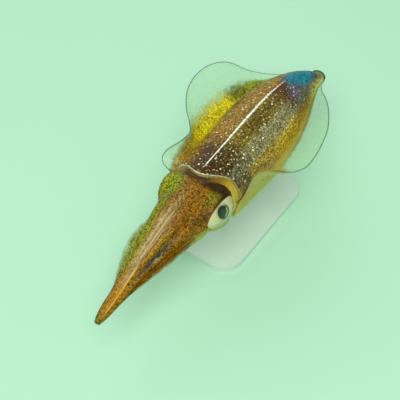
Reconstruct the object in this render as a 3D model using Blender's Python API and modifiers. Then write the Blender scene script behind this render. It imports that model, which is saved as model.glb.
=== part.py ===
"""Caribbean reef squid, a life-size still model that swims level on a plain display stand.

The squid faces -X, its back is +Z and its left side is -Y. Everything is in metres. Lengths along the body are
measured from the mantle's front rim, forwards negative, and heights from the body's axis. An empty then lifts the
whole animal over the stand and sets the origin at the middle of the footprint, on the floor.
"""

import math

import bmesh
import bpy
from mathutils import Matrix, Vector

MM = 0.001
GAP = 0.3 * MM
CLEARANCE = 1.2 * GAP
SHARP_ANGLE = math.radians(42)
LEFT, RIGHT = -1, 1

# Driving sizes of the animal
MANTLE_END = 155 * MM
MANTLE_WALL = 2.0 * MM
RECESS_DEPTH = 12 * MM
ARM_ROOT = -34 * MM
ARM_CROWN_LENGTH = 97 * MM
ARM_DROOP = 14.5 * MM
AXIS_HEIGHT = 62 * MM

# Stand
BASE_SIZE = (112 * MM, 68 * MM, 5 * MM)
BASE_MIDDLE = 36 * MM
BASE_CORNER = 16 * MM
ROD_RADIUS = 2.4 * MM
ROD_SUNK = 4 * MM
ROD_PLACES = {"stand_rod_front": 18 * MM, "stand_rod_rear": 84 * MM}

# Sections along the mantle, in mm: place, half width, half height, height and sideways place of the middle
MANTLE_SECTIONS = (
    (0, 28.2, 25.8, 0.0, 0.0),
    (25, 29.8, 28.0, 0.0, 0.0),
    (55, 31.0, 29.5, 0.0, 0.5),
    (85, 29.0, 27.0, 0.5, 2.0),
    (112, 22.8, 21.0, 1.0, 3.3),
    (134, 15.0, 14.0, 1.0, 2.2),
    (148, 8.5, 8.0, 0.5, -1.0),
    (155, 5.5, 5.0, 0.0, -3.5),
)
TAIL_ROUNDING = 12 * MM
TAIL_RING_ANGLES = (22, 42, 60, 76)
TAIL_LOBE_HALF_SIZE = Vector((3.4 * MM, 6.2 * MM, 1.5 * MM))
TAIL_LOBE_TILT = math.radians(-52)
MANTLE_COLUMNS = 36
MANTLE_RINGS = 13

# The front rim: how far it stands forward at each lobe, in mm, with the lobe's place and spread in degrees
RIM_LOBES = ((-9.2, 0, 28), (-5.6, 104, 16), (3.0, 180, 35))
RIM_REST = 1.2
RIM_TURN = 3.6
RIM_FADE = 30 * MM

# Sections along the head, in mm, from the neck inside the mantle to the roots of the arms:
# place, half width, half height and height of the middle
HEAD_SECTIONS = (
    (11.7, 17.5, 13.0, 4.0),
    (2, 21.8, 16.8, 3.0),
    (-4, 22.8, 17.6, 3.0),
    (-14, 23.4, 18.4, 3.0),
    (-24, 22.3, 18.6, 2.0),
    (-34, 20.6, 18.0, 1.0),
)
HEAD_FRONT_DOME = 9 * MM
HEAD_DOME_ANGLES = (24, 48, 70, 90)
HEAD_BOXINESS = 2.3
HEAD_COLUMNS = 32
HEAD_RINGS = 10

# Eyes, as ellipsoids: half length along the body, half depth, half height. The lid is a fold round the opening.
EYE_MIDDLE = Vector((-15.0 * MM, 18.0 * MM, 4.0 * MM))
EYE_HALF_SIZE = Vector((16.5 * MM, 10.4 * MM, 13.4 * MM))
EYE_MOUND_HALF_SIZE = Vector((17.6 * MM, 9.2 * MM, 14.2 * MM))
EYE_COLUMNS, EYE_ROWS = 20, 10
LID_HALF_LENGTH = 13.6 * MM
LID_HALF_HEIGHT = 10.6 * MM
LID_RADIUS = 1.25 * MM
LID_COLUMNS, LID_RINGS = 5, 18

# Radius of the arm crown in mm from root (0) to tip (1), and the arms round it: degrees from the back's midline,
# reach as a share of the crown, relative thickness and width of the swimming keel
CROWN_RADIUS = ((0.0, 20.0), (0.15, 17.6), (0.3, 13.6), (0.5, 9.8), (0.75, 6.4), (0.9, 4.4), (1.0, 2.6))
ARMS = {
    "arm_dorsal": {"around": 22.5, "reach": 0.74, "thick": 0.94, "keel": 0.0},
    "arm_dorsolateral": {"around": 67.0, "reach": 0.88, "thick": 0.98, "keel": 0.0},
    "arm_lateral": {"around": 112.0, "reach": 1.0, "thick": 1.0, "keel": 9.5 * MM},
    "arm_ventral": {"around": 157.5, "reach": 0.93, "thick": 0.98, "keel": 0.0},
}
RING_SHARE = 0.725
ARM_SHARE = 0.355
ARM_DEPTH_RATIO = 1.16
ARM_BOXINESS = 0.86
ARM_WEDGE = 0.1
ARM_ROOT_SHARE = -0.12
ARM_END_SHARE = 0.004
ARM_LEAST_HALF_WIDTH = 0.4 * MM
LONGEST_ARM_SWELLING = 0.28
ARM_COLUMNS = 12
ARM_RINGS = 16

SUCKER_PAIRS = 8
SUCKER_FIRST_SHARE = 0.1
SUCKER_LAST_MARGIN = 0.04
SUCKER_RADIUS_SHARE = 0.27
SUCKER_LEAST_RADIUS = 0.42 * MM
SUCKER_SIDES = 6

KEEL_LIFT = {LEFT: math.radians(34), RIGHT: math.radians(6)}
KEEL_THICKNESS = 1.1 * MM
KEEL_FIRST_SHARE, KEEL_LENGTH_SHARE = 0.02, 0.72
KEEL_EDGE = 0.6 * MM
KEEL_COLUMNS, KEEL_ROWS = 3, 18

# Feeding tentacles, drawn in among the arms
TENTACLE_PARTING = 0.56
TENTACLE_START, TENTACLE_END = -0.1, 0.84
TENTACLE_RADII = (2.3 * MM, 1.25 * MM, 0.5 * MM)
TENTACLE_SPREAD = 0.75 * MM
CLUB_SWELLING = 0.12
TENTACLE_COLUMNS, TENTACLE_RINGS = 8, 12

# Funnel: places, half widths and half heights from its wide end in the mantle to its open front
FUNNEL_REAR = RECESS_DEPTH - GAP
FUNNEL_FRONT = -22 * MM
FUNNEL_HALF_WIDTHS = (12.5 * MM, 3.5 * MM)
FUNNEL_HALF_HEIGHTS = (4.0 * MM, 2.3 * MM)
FUNNEL_SWELLING = 0.5 * MM
FUNNEL_HEIGHTS = (-18.6 * MM, -21.2 * MM)
FUNNEL_BORE_DEPTH = 7 * MM
FUNNEL_WALL = 1.0 * MM
FUNNEL_SLANT = 3.0 * MM
FUNNEL_LIP = 0.4 * MM
FUNNEL_COLUMNS, FUNNEL_RINGS = 20, 9

# Fins, in mm and degrees: width of the sheet and its angle over the level along the mantle. It waves as it swims.
FIN_WIDTH = (
    (-1, 3.0), (0, 8.5), (1.5, 12.5), (4, 15.5), (8, 16.0), (14, 16.5), (22, 18.3), (30, 20.5), (38, 25.0),
    (46, 30.5), (56, 35.5), (68, 38.3), (80, 38.6), (91, 36.5), (101, 32.0), (109, 26.5), (118, 20.0),
    (127, 14.0), (137, 8.5), (147, 4.5), (157, 2.0),
)
FIN_ANGLE = {
    "fin_right": (
        (-1, 10), (4, 18), (9, 54), (14, 68), (22, 78), (29, 66), (38, 49), (50, 41), (63, 38), (77, 38),
        (90, 39), (101, 38), (109, 30), (118, 14), (127, 0), (137, -14), (147, -26), (157, -28),
    ),
    "fin_left": (
        (-1, 62), (8, 76), (16, 84), (24, 74), (31, 48), (36, 33), (44, 29), (52, 34), (62, 40), (74, 45),
        (90, 54), (106, 60), (119, 64), (132, 60), (146, 40), (157, 10),
    ),
}
FIN_CURL = 14.0
FIN_LOBE_SWEEP = 3.5
FIN_LOBE_END = 14
FIN_ROOT_AROUND = math.radians(80)
FIN_ROOT_SUNK = 1.5 * MM
FIN_ROOT_THICKNESS = 2.6 * MM
FIN_EDGE_SHARE = 0.32
FIN_COLUMNS, FIN_ROWS = 8, 36
FIN_BEND_STEPS = 12


def smooth(stations, place, column=1):
    """The value in a column at a place on the smooth curve through the stations."""
    rows = sorted(stations)
    place = min(max(place, rows[0][0]), rows[-1][0])
    index = max(i for i in range(len(rows) - 1) if rows[i][0] <= place)

    def slope(i):
        low, high = max(i - 1, 0), min(i + 1, len(rows) - 1)
        return (rows[high][column] - rows[low][column]) / (rows[high][0] - rows[low][0])

    start, end = rows[index], rows[index + 1]
    span = end[0] - start[0]
    t = (place - start[0]) / span
    return (
        (2 * t**3 - 3 * t**2 + 1) * start[column]
        + (t**3 - 2 * t**2 + t) * span * slope(index)
        + (3 * t**2 - 2 * t**3) * end[column]
        + (t**3 - t**2) * span * slope(index + 1)
    )


def ease(low, high, value):
    """0 below low, 1 above high and smooth between."""
    t = min(max((value - low) / (high - low), 0.0), 1.0)
    return t * t * (3 - 2 * t)


def power(value, exponent):
    """A signed power, for sections that are boxier than an ellipse."""
    return math.copysign(abs(value) ** exponent, value)


def material(name, colour, roughness, metallic=0.0):
    made = bpy.data.materials.get(name) or bpy.data.materials.new(name)
    made.use_nodes = True
    shader = made.node_tree.nodes["Principled BSDF"]
    shader.inputs["Base Color"].default_value = (*colour, 1.0)
    shader.inputs["Roughness"].default_value = roughness
    shader.inputs["Metallic"].default_value = metallic
    return made


def add_object(name, mesh, collection, finish=None):
    made = bpy.data.objects.new(name, mesh)
    collection.objects.link(made)
    if finish:
        mesh.materials.append(finish)
    return made


def finished_mesh(name, shape):
    """Turns a bmesh into a mesh and frees it."""
    mesh = bpy.data.meshes.new(name)
    shape.to_mesh(mesh)
    shape.free()
    return mesh


def grid_mesh(name, columns, rows, place, closed=True):
    """A grid bent by place(along, around), both 0 to 1. A closed one has its seam and its end poles merged."""
    shape = bmesh.new()
    bmesh.ops.create_grid(shape, x_segments=columns, y_segments=rows, size=1.0)
    for vertex in shape.verts:
        vertex.co = place((vertex.co.y + 1) / 2, (vertex.co.x + 1) / 2)
    if closed:
        bmesh.ops.remove_doubles(shape, verts=shape.verts, dist=0.001 * MM)
        bmesh.ops.recalc_face_normals(shape, faces=shape.faces)
    bmesh.ops.triangulate(shape, faces=shape.faces, quad_method="FIXED")
    return finished_mesh(name, shape)


def sphere_mesh(name, half_size, middle, columns, rows, turn=0.0):
    """An ellipsoid, tilted about Y."""
    shape = bmesh.new()
    bmesh.ops.create_uvsphere(shape, u_segments=columns, v_segments=rows, radius=1.0)
    bmesh.ops.scale(shape, vec=half_size, verts=shape.verts)
    bmesh.ops.rotate(shape, cent=(0, 0, 0), matrix=Matrix.Rotation(turn, 3, "Y"), verts=shape.verts)
    bmesh.ops.translate(shape, vec=middle, verts=shape.verts)
    return finished_mesh(name, shape)


def apply_modifiers(body):
    graph = bpy.context.evaluated_depsgraph_get()
    mesh = bpy.data.meshes.new_from_object(body.evaluated_get(graph))
    body.modifiers.clear()
    body.data = mesh


def keep_largest(body):
    """Leaves only the closed surface that holds the most volume."""
    shape = bmesh.new()
    shape.from_mesh(body.data)
    left = set(shape.faces)
    islands = []
    while left:
        queue = [left.pop()]
        island = list(queue)
        while queue:
            face = queue.pop()
            for edge in face.edges:
                for other in edge.link_faces:
                    if other in left:
                        left.remove(other)
                        queue.append(other)
                        island.append(other)
        islands.append(island)

    def volume(island):
        total = 0.0
        for face in island:
            corners = [vertex.co for vertex in face.verts]
            for second, third in zip(corners[1:], corners[2:]):
                total += corners[0].dot(second.cross(third)) / 6
        return total

    islands.sort(key=volume)
    for island in islands[:-1]:
        bmesh.ops.delete(shape, geom=island, context="FACES")
    shape.to_mesh(body.data)
    shape.free()


def cut(body, cutters):
    """Takes the cutters away from the body for good."""
    for cutter in cutters:
        modifier = body.modifiers.new("cut", "BOOLEAN")
        modifier.operation = "DIFFERENCE"
        modifier.solver = "EXACT"
        modifier.object = cutter
    apply_modifiers(body)
    keep_largest(body)


def join(body, pieces):
    """Joins closed pieces to the body with one union and removes them."""
    group = bpy.data.collections.new(body.name + "_pieces")
    bpy.context.scene.collection.children.link(group)
    for piece in pieces:
        group.objects.link(piece)
    modifier = body.modifiers.new("join", "BOOLEAN")
    modifier.operation = "UNION"
    modifier.solver = "EXACT"
    modifier.operand_type = "COLLECTION"
    modifier.collection = group
    apply_modifiers(body)
    for piece in pieces:
        bpy.data.objects.remove(piece)
    bpy.data.collections.remove(group)
    keep_largest(body)


# Mantle


def mantle_section(x):
    """Half width, half height and the middle's height and sideways place along the mantle, in metres."""
    half_width, half_height, middle, bend = (
        smooth(MANTLE_SECTIONS, x / MM, column) * MM for column in (1, 2, 3, 4)
    )
    past = max(0.0, (x - (MANTLE_END - TAIL_ROUNDING)) / TAIL_ROUNDING)
    rounding = math.sqrt(max(0.0, 1 - past**2.4))
    return half_width * rounding, half_height * rounding, middle, bend


def rim_shift(around):
    """How far the front rim stands back (positive) at an angle from the back's midline, in radians."""
    degrees = abs(math.degrees(around))
    lobes = sum(height * math.exp(-(((degrees - place) / spread) ** 2)) for height, place, spread in RIM_LOBES)
    turn = RIM_TURN * math.sin(2 * around) * (1 - ease(80, 100, degrees))
    return (RIM_REST + lobes - turn) * MM


def mantle_point(x, around, growth=0.0, wall=0.0):
    half_width, half_height, middle, bend = mantle_section(x)
    half_width += growth - wall
    half_height += growth - wall
    fade = 1 - ease(0, RIM_FADE, x)
    return Vector(
        (
            x + rim_shift(around) * fade,
            bend + half_width * math.sin(around),
            middle + half_height * math.cos(around),
        )
    )


def mantle_rows(growth):
    """The kinds and places of the rings, from the middle of the front to the tip of the tail."""
    tail_start = MANTLE_END - TAIL_ROUNDING
    rows = []
    if growth:
        rows += [("front", 0.0), ("front", 1.0)]
    else:
        lip = MANTLE_WALL / 2
        rows += [("floor", share) for share in (0.0, 0.55, 0.92)]
        rows += [("inner", x) for x in (RECESS_DEPTH - lip, RECESS_DEPTH / 2, lip)]
        rows += [("lip", angle) for angle in (-50, 0, 50)]
        rows += [("outer", lip)]
    rows += [("outer", tail_start * i / MANTLE_RINGS) for i in range(1, MANTLE_RINGS + 1)]
    rows += [("outer", tail_start + TAIL_ROUNDING * math.sin(math.radians(a))) for a in TAIL_RING_ANGLES]
    rows += [("tip", 0.0)]
    return rows


def mantle_mesh(name, growth=0.0):
    """The mantle with its open front. A grown one is solid there, for use as a cutter."""
    rows = mantle_rows(growth)
    count = len(rows) - 1
    cutter_front = -30 * MM

    def place(along, round_share):
        around = math.tau * round_share - math.pi
        kind, value = rows[round(along * count)]
        if kind == "floor":
            edge = mantle_point(RECESS_DEPTH, around, wall=MANTLE_WALL * 1.4)
            point = Vector((RECESS_DEPTH, 0, 0)).lerp(edge, value)
            point.x = RECESS_DEPTH
        elif kind == "inner":
            point = mantle_point(value, around, wall=MANTLE_WALL)
            if value > RECESS_DEPTH * 0.6:
                point.x = value
        elif kind == "lip":
            inside = mantle_point(0, around, wall=MANTLE_WALL)
            share = (math.sin(math.radians(value)) + 1) / 2
            point = inside.lerp(mantle_point(0, around), share)
            point.x += MANTLE_WALL / 2 * (1 - math.cos(math.radians(value)))
        elif kind == "front":
            point = Vector((0, 0, 0)).lerp(mantle_point(0, around, growth), value)
            point.x = cutter_front
        elif kind == "tip":
            _, _, middle, bend = mantle_section(MANTLE_END)
            point = Vector((MANTLE_END + growth, bend, middle))
        else:
            point = mantle_point(value, around, growth)
            if growth and value > MANTLE_END - TAIL_ROUNDING:
                point.x += growth
        return point

    return grid_mesh(name, MANTLE_COLUMNS, count, place)


def tail_lobe_mesh(name, growth=0.0):
    """The short flap where the fins run together behind the mantle's tip."""
    half_size = TAIL_LOBE_HALF_SIZE + Vector((growth, growth, growth))
    middle = Vector((MANTLE_END - 0.2 * MM, mantle_section(MANTLE_END)[3], 1.2 * MM))
    return sphere_mesh(name, half_size, middle, 16, 8, TAIL_LOBE_TILT)


def make_mantle(collection):
    finish = material("mantle skin", (0.33, 0.22, 0.07), 0.45)
    mantle = add_object("mantle", mantle_mesh("mantle"), collection, finish)
    join(mantle, [bpy.data.objects.new("tail lobe", tail_lobe_mesh("tail lobe"))])


# Fins


def fin_root(side, x):
    """Where the fin's middle surface meets the mantle, sunk a little into it."""
    half_width, half_height, middle, bend = mantle_section(min(x, MANTLE_END - FIN_ROOT_SUNK / 3))
    half_width = max(half_width * math.sin(FIN_ROOT_AROUND) - FIN_ROOT_SUNK, GAP / 2)
    return Vector((x, bend + side * half_width, middle + half_height * math.cos(FIN_ROOT_AROUND)))


def fin_point(side, angles, along, outward):
    """A point of the fin's middle surface: along the root, 0 to 1, and outward to its edge, 0 to 1."""
    first, last = FIN_WIDTH[0][0], FIN_WIDTH[-1][0]
    x = first + (last - first) * along**1.3
    width = smooth(FIN_WIDTH, x) * MM + FIN_ROOT_SUNK
    root_angle = smooth(angles, x)
    point = fin_root(side, x * MM)
    for step in range(FIN_BEND_STEPS):
        share = (step + 0.5) / FIN_BEND_STEPS
        bend = math.radians(root_angle * (0.75 + 0.5 * share) + FIN_CURL * (0.5 - share))
        length = width * min(1 / FIN_BEND_STEPS, max(0.0, outward - step / FIN_BEND_STEPS))
        point = point + Vector((0, side * math.cos(bend), math.sin(bend))) * length
    point.x -= FIN_LOBE_SWEEP * MM * (1 - ease(first, FIN_LOBE_END, x)) * outward**1.5
    return point


def make_fin(name, side, collection, mantle_cutters):
    """A waving sheet that is thick at its root and thin at its edge."""
    finish = material("fin skin", (0.55, 0.62, 0.36), 0.3)
    angles = FIN_ANGLE[name]

    def place(along, outward):
        return fin_point(side, angles, along, outward)

    fin = add_object(name, grid_mesh(name, FIN_COLUMNS, FIN_ROWS, place, closed=False), collection, finish)
    weights = fin.vertex_groups.new(name="thickness")
    for vertex in fin.data.vertices:
        outward = (vertex.index % (FIN_COLUMNS + 1)) / FIN_COLUMNS
        weights.add([vertex.index], 1 - (1 - FIN_EDGE_SHARE) * outward**0.7, "REPLACE")
    wall = fin.modifiers.new("thickness", "SOLIDIFY")
    wall.thickness = FIN_ROOT_THICKNESS
    wall.offset = 0
    wall.vertex_group = "thickness"
    apply_modifiers(fin)
    shape = bmesh.new()
    shape.from_mesh(fin.data)
    bmesh.ops.recalc_face_normals(shape, faces=shape.faces)
    shape.to_mesh(fin.data)
    shape.free()
    cut(fin, mantle_cutters)


# Head and eyes


def head_mesh(name, growth=0.0):
    """The head, flat at the neck's end and domed where the arms grow."""
    neck_end = HEAD_SECTIONS[0][0] * MM
    span = neck_end - ARM_ROOT
    rows = [("neck", 0.0), ("neck", 1.0)]
    rows += [("side", neck_end - span * i / HEAD_RINGS) for i in range(1, HEAD_RINGS + 1)]
    rows += [("dome", math.radians(angle)) for angle in HEAD_DOME_ANGLES]
    count = len(rows) - 1
    exponent = 2 / HEAD_BOXINESS

    def place(along, round_share):
        around = math.tau * round_share
        kind, value = rows[round(along * count)]
        x = {"neck": neck_end, "side": value, "dome": ARM_ROOT}[kind]
        half_width, half_height, middle = (smooth(HEAD_SECTIONS, x / MM, column) * MM for column in (1, 2, 3))
        share = {"neck": value, "side": 1.0, "dome": math.cos(value)}[kind]
        if kind == "dome":
            x -= (HEAD_FRONT_DOME + growth) * math.sin(value)
        return Vector(
            (
                x,
                (half_width + growth) * share * power(math.sin(around), exponent),
                middle + (half_height + growth) * share * power(math.cos(around), exponent),
            )
        )

    return grid_mesh(name, HEAD_COLUMNS, count, place)


def eye_middle(side):
    return Vector((EYE_MIDDLE.x, side * EYE_MIDDLE.y, EYE_MIDDLE.z))


def eye_mesh(name, side, half_size, growth=0.0):
    grown = half_size + Vector((growth, growth, growth))
    return sphere_mesh(name, grown, eye_middle(side), EYE_COLUMNS, EYE_ROWS)


def lid_mesh(side):
    """The fold of skin that lies round the eye's opening, on the eyeball."""

    def place(along, round_share):
        turn, around = math.tau * along, math.tau * round_share
        outward = Vector((math.cos(turn), 0, math.sin(turn)))
        point = Vector((LID_HALF_LENGTH * outward.x, 0, LID_HALF_HEIGHT * outward.z))
        depth_share = 1 - (point.x / EYE_HALF_SIZE.x) ** 2 - (point.z / EYE_HALF_SIZE.z) ** 2
        point.y = side * EYE_HALF_SIZE.y * math.sqrt(depth_share)
        tube = outward * math.cos(around) + Vector((0, side, 0)) * math.sin(around)
        return eye_middle(side) + point + tube * LID_RADIUS

    return grid_mesh("lid", LID_COLUMNS, LID_RINGS, place)


def make_head(collection):
    finish = material("head skin", (0.36, 0.19, 0.05), 0.45)
    head = add_object("head", head_mesh("head"), collection, finish)
    pieces = []
    for side in (LEFT, RIGHT):
        pieces.append(bpy.data.objects.new("mound", eye_mesh("mound", side, EYE_MOUND_HALF_SIZE)))
        pieces.append(bpy.data.objects.new("lid", lid_mesh(side)))
    join(head, pieces)
    return head


def make_eye(name, side, collection):
    finish = material("eye", (0.80, 0.82, 0.62), 0.15)
    add_object(name, eye_mesh(name, side, EYE_HALF_SIZE), collection, finish)


# Arms and tentacles


def crown_middle(share):
    """The middle of the arm crown from its root (0) to its tip (1). It droops a little."""
    head_middle = smooth(HEAD_SECTIONS, ARM_ROOT / MM, 3) * MM
    return Vector((ARM_ROOT - ARM_CROWN_LENGTH * share, 0, head_middle - ARM_DROOP * max(share, 0.0) ** 1.6))


def crown_ring(share):
    """How far the arms' middles stand from the crown's middle."""
    return smooth(CROWN_RADIUS, max(share, 0.0)) * RING_SHARE * MM


def arm_section(arm, side, share):
    """Middle, half width, half depth, sideways and outward directions of an arm at a share of the crown."""
    ring = crown_ring(share)
    around = math.radians(arm["around"])
    outward = Vector((0, side * math.sin(around), math.cos(around)))
    sideways = Vector((0, side * math.cos(around), -math.sin(around)))
    swelling = LONGEST_ARM_SWELLING * ease(0.76, 0.97, share) if arm["reach"] == 1.0 else 0.0
    tip = max(0.0, 1 - (max(share, 0.0) / arm["reach"]) ** 3.2) ** 0.62
    half_width = ring * (ARM_SHARE + swelling) * arm["thick"] * tip - 0.4 * GAP
    half_width = max(half_width, ARM_LEAST_HALF_WIDTH)
    middle = crown_middle(share) + outward * (ring + (ring * ARM_SHARE - half_width) * 0.35)
    return middle, half_width, half_width * ARM_DEPTH_RATIO, sideways, outward


def arm_mesh(name, arm, side):
    """One arm: rounded, a little wider on its outer side, from inside the head to its tip."""
    end_share = arm["reach"] - ARM_END_SHARE

    def place(along, round_share):
        step = along * (ARM_RINGS + 2)
        part = min(max((step - 1) / ARM_RINGS, 0.0), 1.0)
        share = ARM_ROOT_SHARE + (end_share - ARM_ROOT_SHARE) * part**0.92
        middle, half_width, half_depth, sideways, outward = arm_section(arm, side, share)
        if 0.5 < step < ARM_RINGS + 1.5:
            around = math.tau * round_share
            depth_share = power(math.cos(around), ARM_BOXINESS)
            width_share = power(math.sin(around), ARM_BOXINESS) * (1 + ARM_WEDGE * depth_share)
            middle = middle + sideways * half_width * width_share + outward * half_depth * depth_share
        elif step > 1:
            middle = middle - Vector((half_width, 0, 0))
        return middle

    return grid_mesh(name, ARM_COLUMNS, ARM_RINGS + 2, place)


def sucker_pieces(arm, side):
    """Two rows of low suckers on the arm's inner face, smaller towards the tip."""
    pieces = []
    length_share = arm["reach"] - SUCKER_FIRST_SHARE - SUCKER_LAST_MARGIN
    for pair in range(SUCKER_PAIRS):
        for row in (-1, 1):
            part = (pair + 0.3 + 0.25 * row) / SUCKER_PAIRS
            share = SUCKER_FIRST_SHARE + length_share * part**0.9
            middle, half_width, half_depth, sideways, outward = arm_section(arm, side, share)
            radius = max(SUCKER_RADIUS_SHARE * half_width, SUCKER_LEAST_RADIUS)
            height = 0.22 * half_width + 0.25 * MM
            seat = middle - outward * half_depth * 0.86 + sideways * half_width * 0.4 * row
            shape = bmesh.new()
            bmesh.ops.create_cone(
                shape,
                cap_ends=True,
                segments=SUCKER_SIDES,
                radius1=radius * 0.8,
                radius2=radius,
                depth=2 * height,
            )
            turn = Vector((0, 0, 1)).rotation_difference(-outward).to_matrix()
            bmesh.ops.rotate(shape, cent=(0, 0, 0), matrix=turn, verts=shape.verts)
            bmesh.ops.translate(shape, vec=seat, verts=shape.verts)
            pieces.append(bpy.data.objects.new("sucker", finished_mesh("sucker", shape)))
    return pieces


def keel_piece(arm, side):
    """The swimming keel: a thin flange along the outer side of the lateral arm."""
    lift = KEEL_LIFT[side]
    direction = Vector((0, side * math.cos(lift), math.sin(lift)))

    def place(along, outward_share):
        middle, half_width, _, _, _ = arm_section(arm, side, KEEL_FIRST_SHARE + KEEL_LENGTH_SHARE * along)
        width = arm["keel"] * math.sin(math.pi * along**0.9) ** 1.1 + KEEL_EDGE
        return middle + direction * (half_width * 0.45 + (half_width * 0.5 + width) * outward_share)

    mesh = grid_mesh("keel", KEEL_COLUMNS, KEEL_ROWS, place, closed=False)
    piece = add_object("keel", mesh, bpy.context.scene.collection)
    wall = piece.modifiers.new("thickness", "SOLIDIFY")
    wall.thickness = KEEL_THICKNESS
    wall.offset = 0
    apply_modifiers(piece)
    bpy.context.scene.collection.objects.unlink(piece)
    return piece


def make_arm(name, arm, side, collection, head_cutter):
    finish = material("arm skin", (0.42, 0.22, 0.06), 0.42)
    made = add_object(name, arm_mesh(name, arm, side), collection, finish)
    pieces = sucker_pieces(arm, side)
    if arm["keel"]:
        pieces.append(keel_piece(arm, side))
    join(made, pieces)
    cut(made, [head_cutter])


def tentacle_mesh(name, side, shares, radii, swelling=0.0):
    """A length of the feeding tentacle between two shares of the crown. The club swells a little."""

    def place(along, round_share):
        step = along * (TENTACLE_RINGS + 2)
        part = min(max((step - 1) / TENTACLE_RINGS, 0.0), 1.0)
        share = shares[0] + (shares[1] - shares[0]) * part
        radius = (radii[0] + (radii[1] - radii[0]) * part) * (1 + swelling * math.sin(math.pi * part))
        middle = crown_middle(share) + Vector((0, side * (crown_ring(share) * 0.17 + TENTACLE_SPREAD), 0))
        if 0.5 < step < TENTACLE_RINGS + 1.5:
            around = math.tau * round_share
            middle = middle + Vector((0, radius * 0.85 * math.sin(around), radius * math.cos(around)))
        return middle

    return grid_mesh(name, TENTACLE_COLUMNS, TENTACLE_RINGS + 2, place)


def make_tentacle(side_name, side, collection, head_cutter):
    finish = material("tentacle skin", (0.62, 0.50, 0.34), 0.4)
    root_radius, neck_radius, tip_radius = TENTACLE_RADII
    stalk_mesh = tentacle_mesh("stalk", side, (TENTACLE_START, TENTACLE_PARTING), (root_radius, neck_radius))
    stalk = add_object(f"tentacle_{side_name}_stalk", stalk_mesh, collection, finish)
    cut(stalk, [head_cutter])
    club_shares = (TENTACLE_PARTING + GAP / ARM_CROWN_LENGTH, TENTACLE_END)
    club_mesh = tentacle_mesh("club", side, club_shares, (neck_radius, tip_radius), CLUB_SWELLING)
    add_object(f"tentacle_{side_name}_club", club_mesh, collection, finish)


# Funnel


def funnel_section(x):
    """Half width, half height and height of the middle, from the wide rear to the open front."""
    share = (FUNNEL_REAR - x) / (FUNNEL_REAR - FUNNEL_FRONT)
    narrowing = ease(0, 1, share)
    half_width = FUNNEL_HALF_WIDTHS[0] + (FUNNEL_HALF_WIDTHS[1] - FUNNEL_HALF_WIDTHS[0]) * narrowing
    half_height = FUNNEL_HALF_HEIGHTS[0] + (FUNNEL_HALF_HEIGHTS[1] - FUNNEL_HALF_HEIGHTS[0]) * narrowing
    half_height += FUNNEL_SWELLING * math.sin(math.pi * share)
    middle = FUNNEL_HEIGHTS[0] + (FUNNEL_HEIGHTS[1] - FUNNEL_HEIGHTS[0]) * narrowing
    return half_width, half_height, middle


def make_funnel(collection):
    """The siphon under the head: flat where it leaves the mantle and round at its open end."""
    finish = material("funnel skin", (0.66, 0.58, 0.40), 0.4)
    bore_end = FUNNEL_FRONT + FUNNEL_BORE_DEPTH
    length = FUNNEL_REAR - FUNNEL_FRONT
    # Each ring: its place, how much thinner it is than the outer skin and its share of the full section
    rings = [(FUNNEL_REAR, 0.0, 0.0), (FUNNEL_REAR, 0.0, 1.0)]
    rings += [(FUNNEL_REAR - length * i / FUNNEL_RINGS, 0.0, 1.0) for i in range(1, FUNNEL_RINGS + 1)]
    rings += [
        (FUNNEL_FRONT - FUNNEL_LIP, FUNNEL_WALL / 2, 1.0),
        (FUNNEL_FRONT + FUNNEL_LIP, FUNNEL_WALL, 1.0),
        (bore_end, FUNNEL_WALL, 1.0),
        (bore_end, FUNNEL_WALL, 0.0),
    ]
    count = len(rings) - 1

    def place(along, round_share):
        around = math.tau * round_share
        x, thinner, share = rings[round(along * count)]
        half_width, half_height, middle = funnel_section(max(x, FUNNEL_FRONT))
        # The open end is cut at a slant: its lower lip lies behind the upper one
        slant = FUNNEL_SLANT * ease(0.35, 1, (FUNNEL_REAR - max(x, FUNNEL_FRONT)) / length)
        return Vector(
            (
                x + slant * share * (1 - math.cos(around)) / 2,
                (half_width - thinner) * share * math.sin(around),
                middle + (half_height - thinner) * share * math.cos(around),
            )
        )

    add_object("funnel", grid_mesh("funnel", FUNNEL_COLUMNS, count, place), collection, finish)


# Stand


def make_base(collection, finish):
    bpy.ops.mesh.primitive_cube_add(size=1.0)
    base = bpy.context.object
    base.name = "stand_base"
    for owner in base.users_collection:
        owner.objects.unlink(base)
    collection.objects.link(base)
    base.data.transform(Matrix.Diagonal((*BASE_SIZE, 1.0)))
    base.data.transform(Matrix.Translation((BASE_MIDDLE, 0, BASE_SIZE[2] / 2 - AXIS_HEIGHT)))
    base.data.materials.append(finish)
    shape = bmesh.new()
    shape.from_mesh(base.data)
    upright = [edge for edge in shape.edges if abs(edge.verts[0].co.z - edge.verts[1].co.z) > BASE_SIZE[2] / 2]
    bmesh.ops.bevel(
        shape, geom=upright, offset=BASE_CORNER, affect="EDGES", segments=6, profile=0.5, material=-1
    )
    shape.to_mesh(base.data)
    shape.free()


def make_rod(name, x, collection, finish, mantle_cutter):
    """A rod from the base up to the belly, shaped to it at its top."""
    _, half_height, middle, _ = mantle_section(x)
    foot = BASE_SIZE[2] - AXIS_HEIGHT + GAP
    top = middle - half_height + ROD_SUNK
    shape = bmesh.new()
    bmesh.ops.create_cone(
        shape, cap_ends=True, segments=20, radius1=ROD_RADIUS, radius2=ROD_RADIUS, depth=top - foot
    )
    bmesh.ops.translate(shape, vec=(x, 0, (top + foot) / 2), verts=shape.verts)
    rod = add_object(name, finished_mesh(name, shape), collection, finish)
    cut(rod, [mantle_cutter])


def make_stand(collection, mantle_cutter):
    finish = material("stand", (0.78, 0.78, 0.76), 0.5)
    make_base(collection, finish)
    for name, x in ROD_PLACES.items():
        make_rod(name, x, collection, finish, mantle_cutter)


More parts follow.
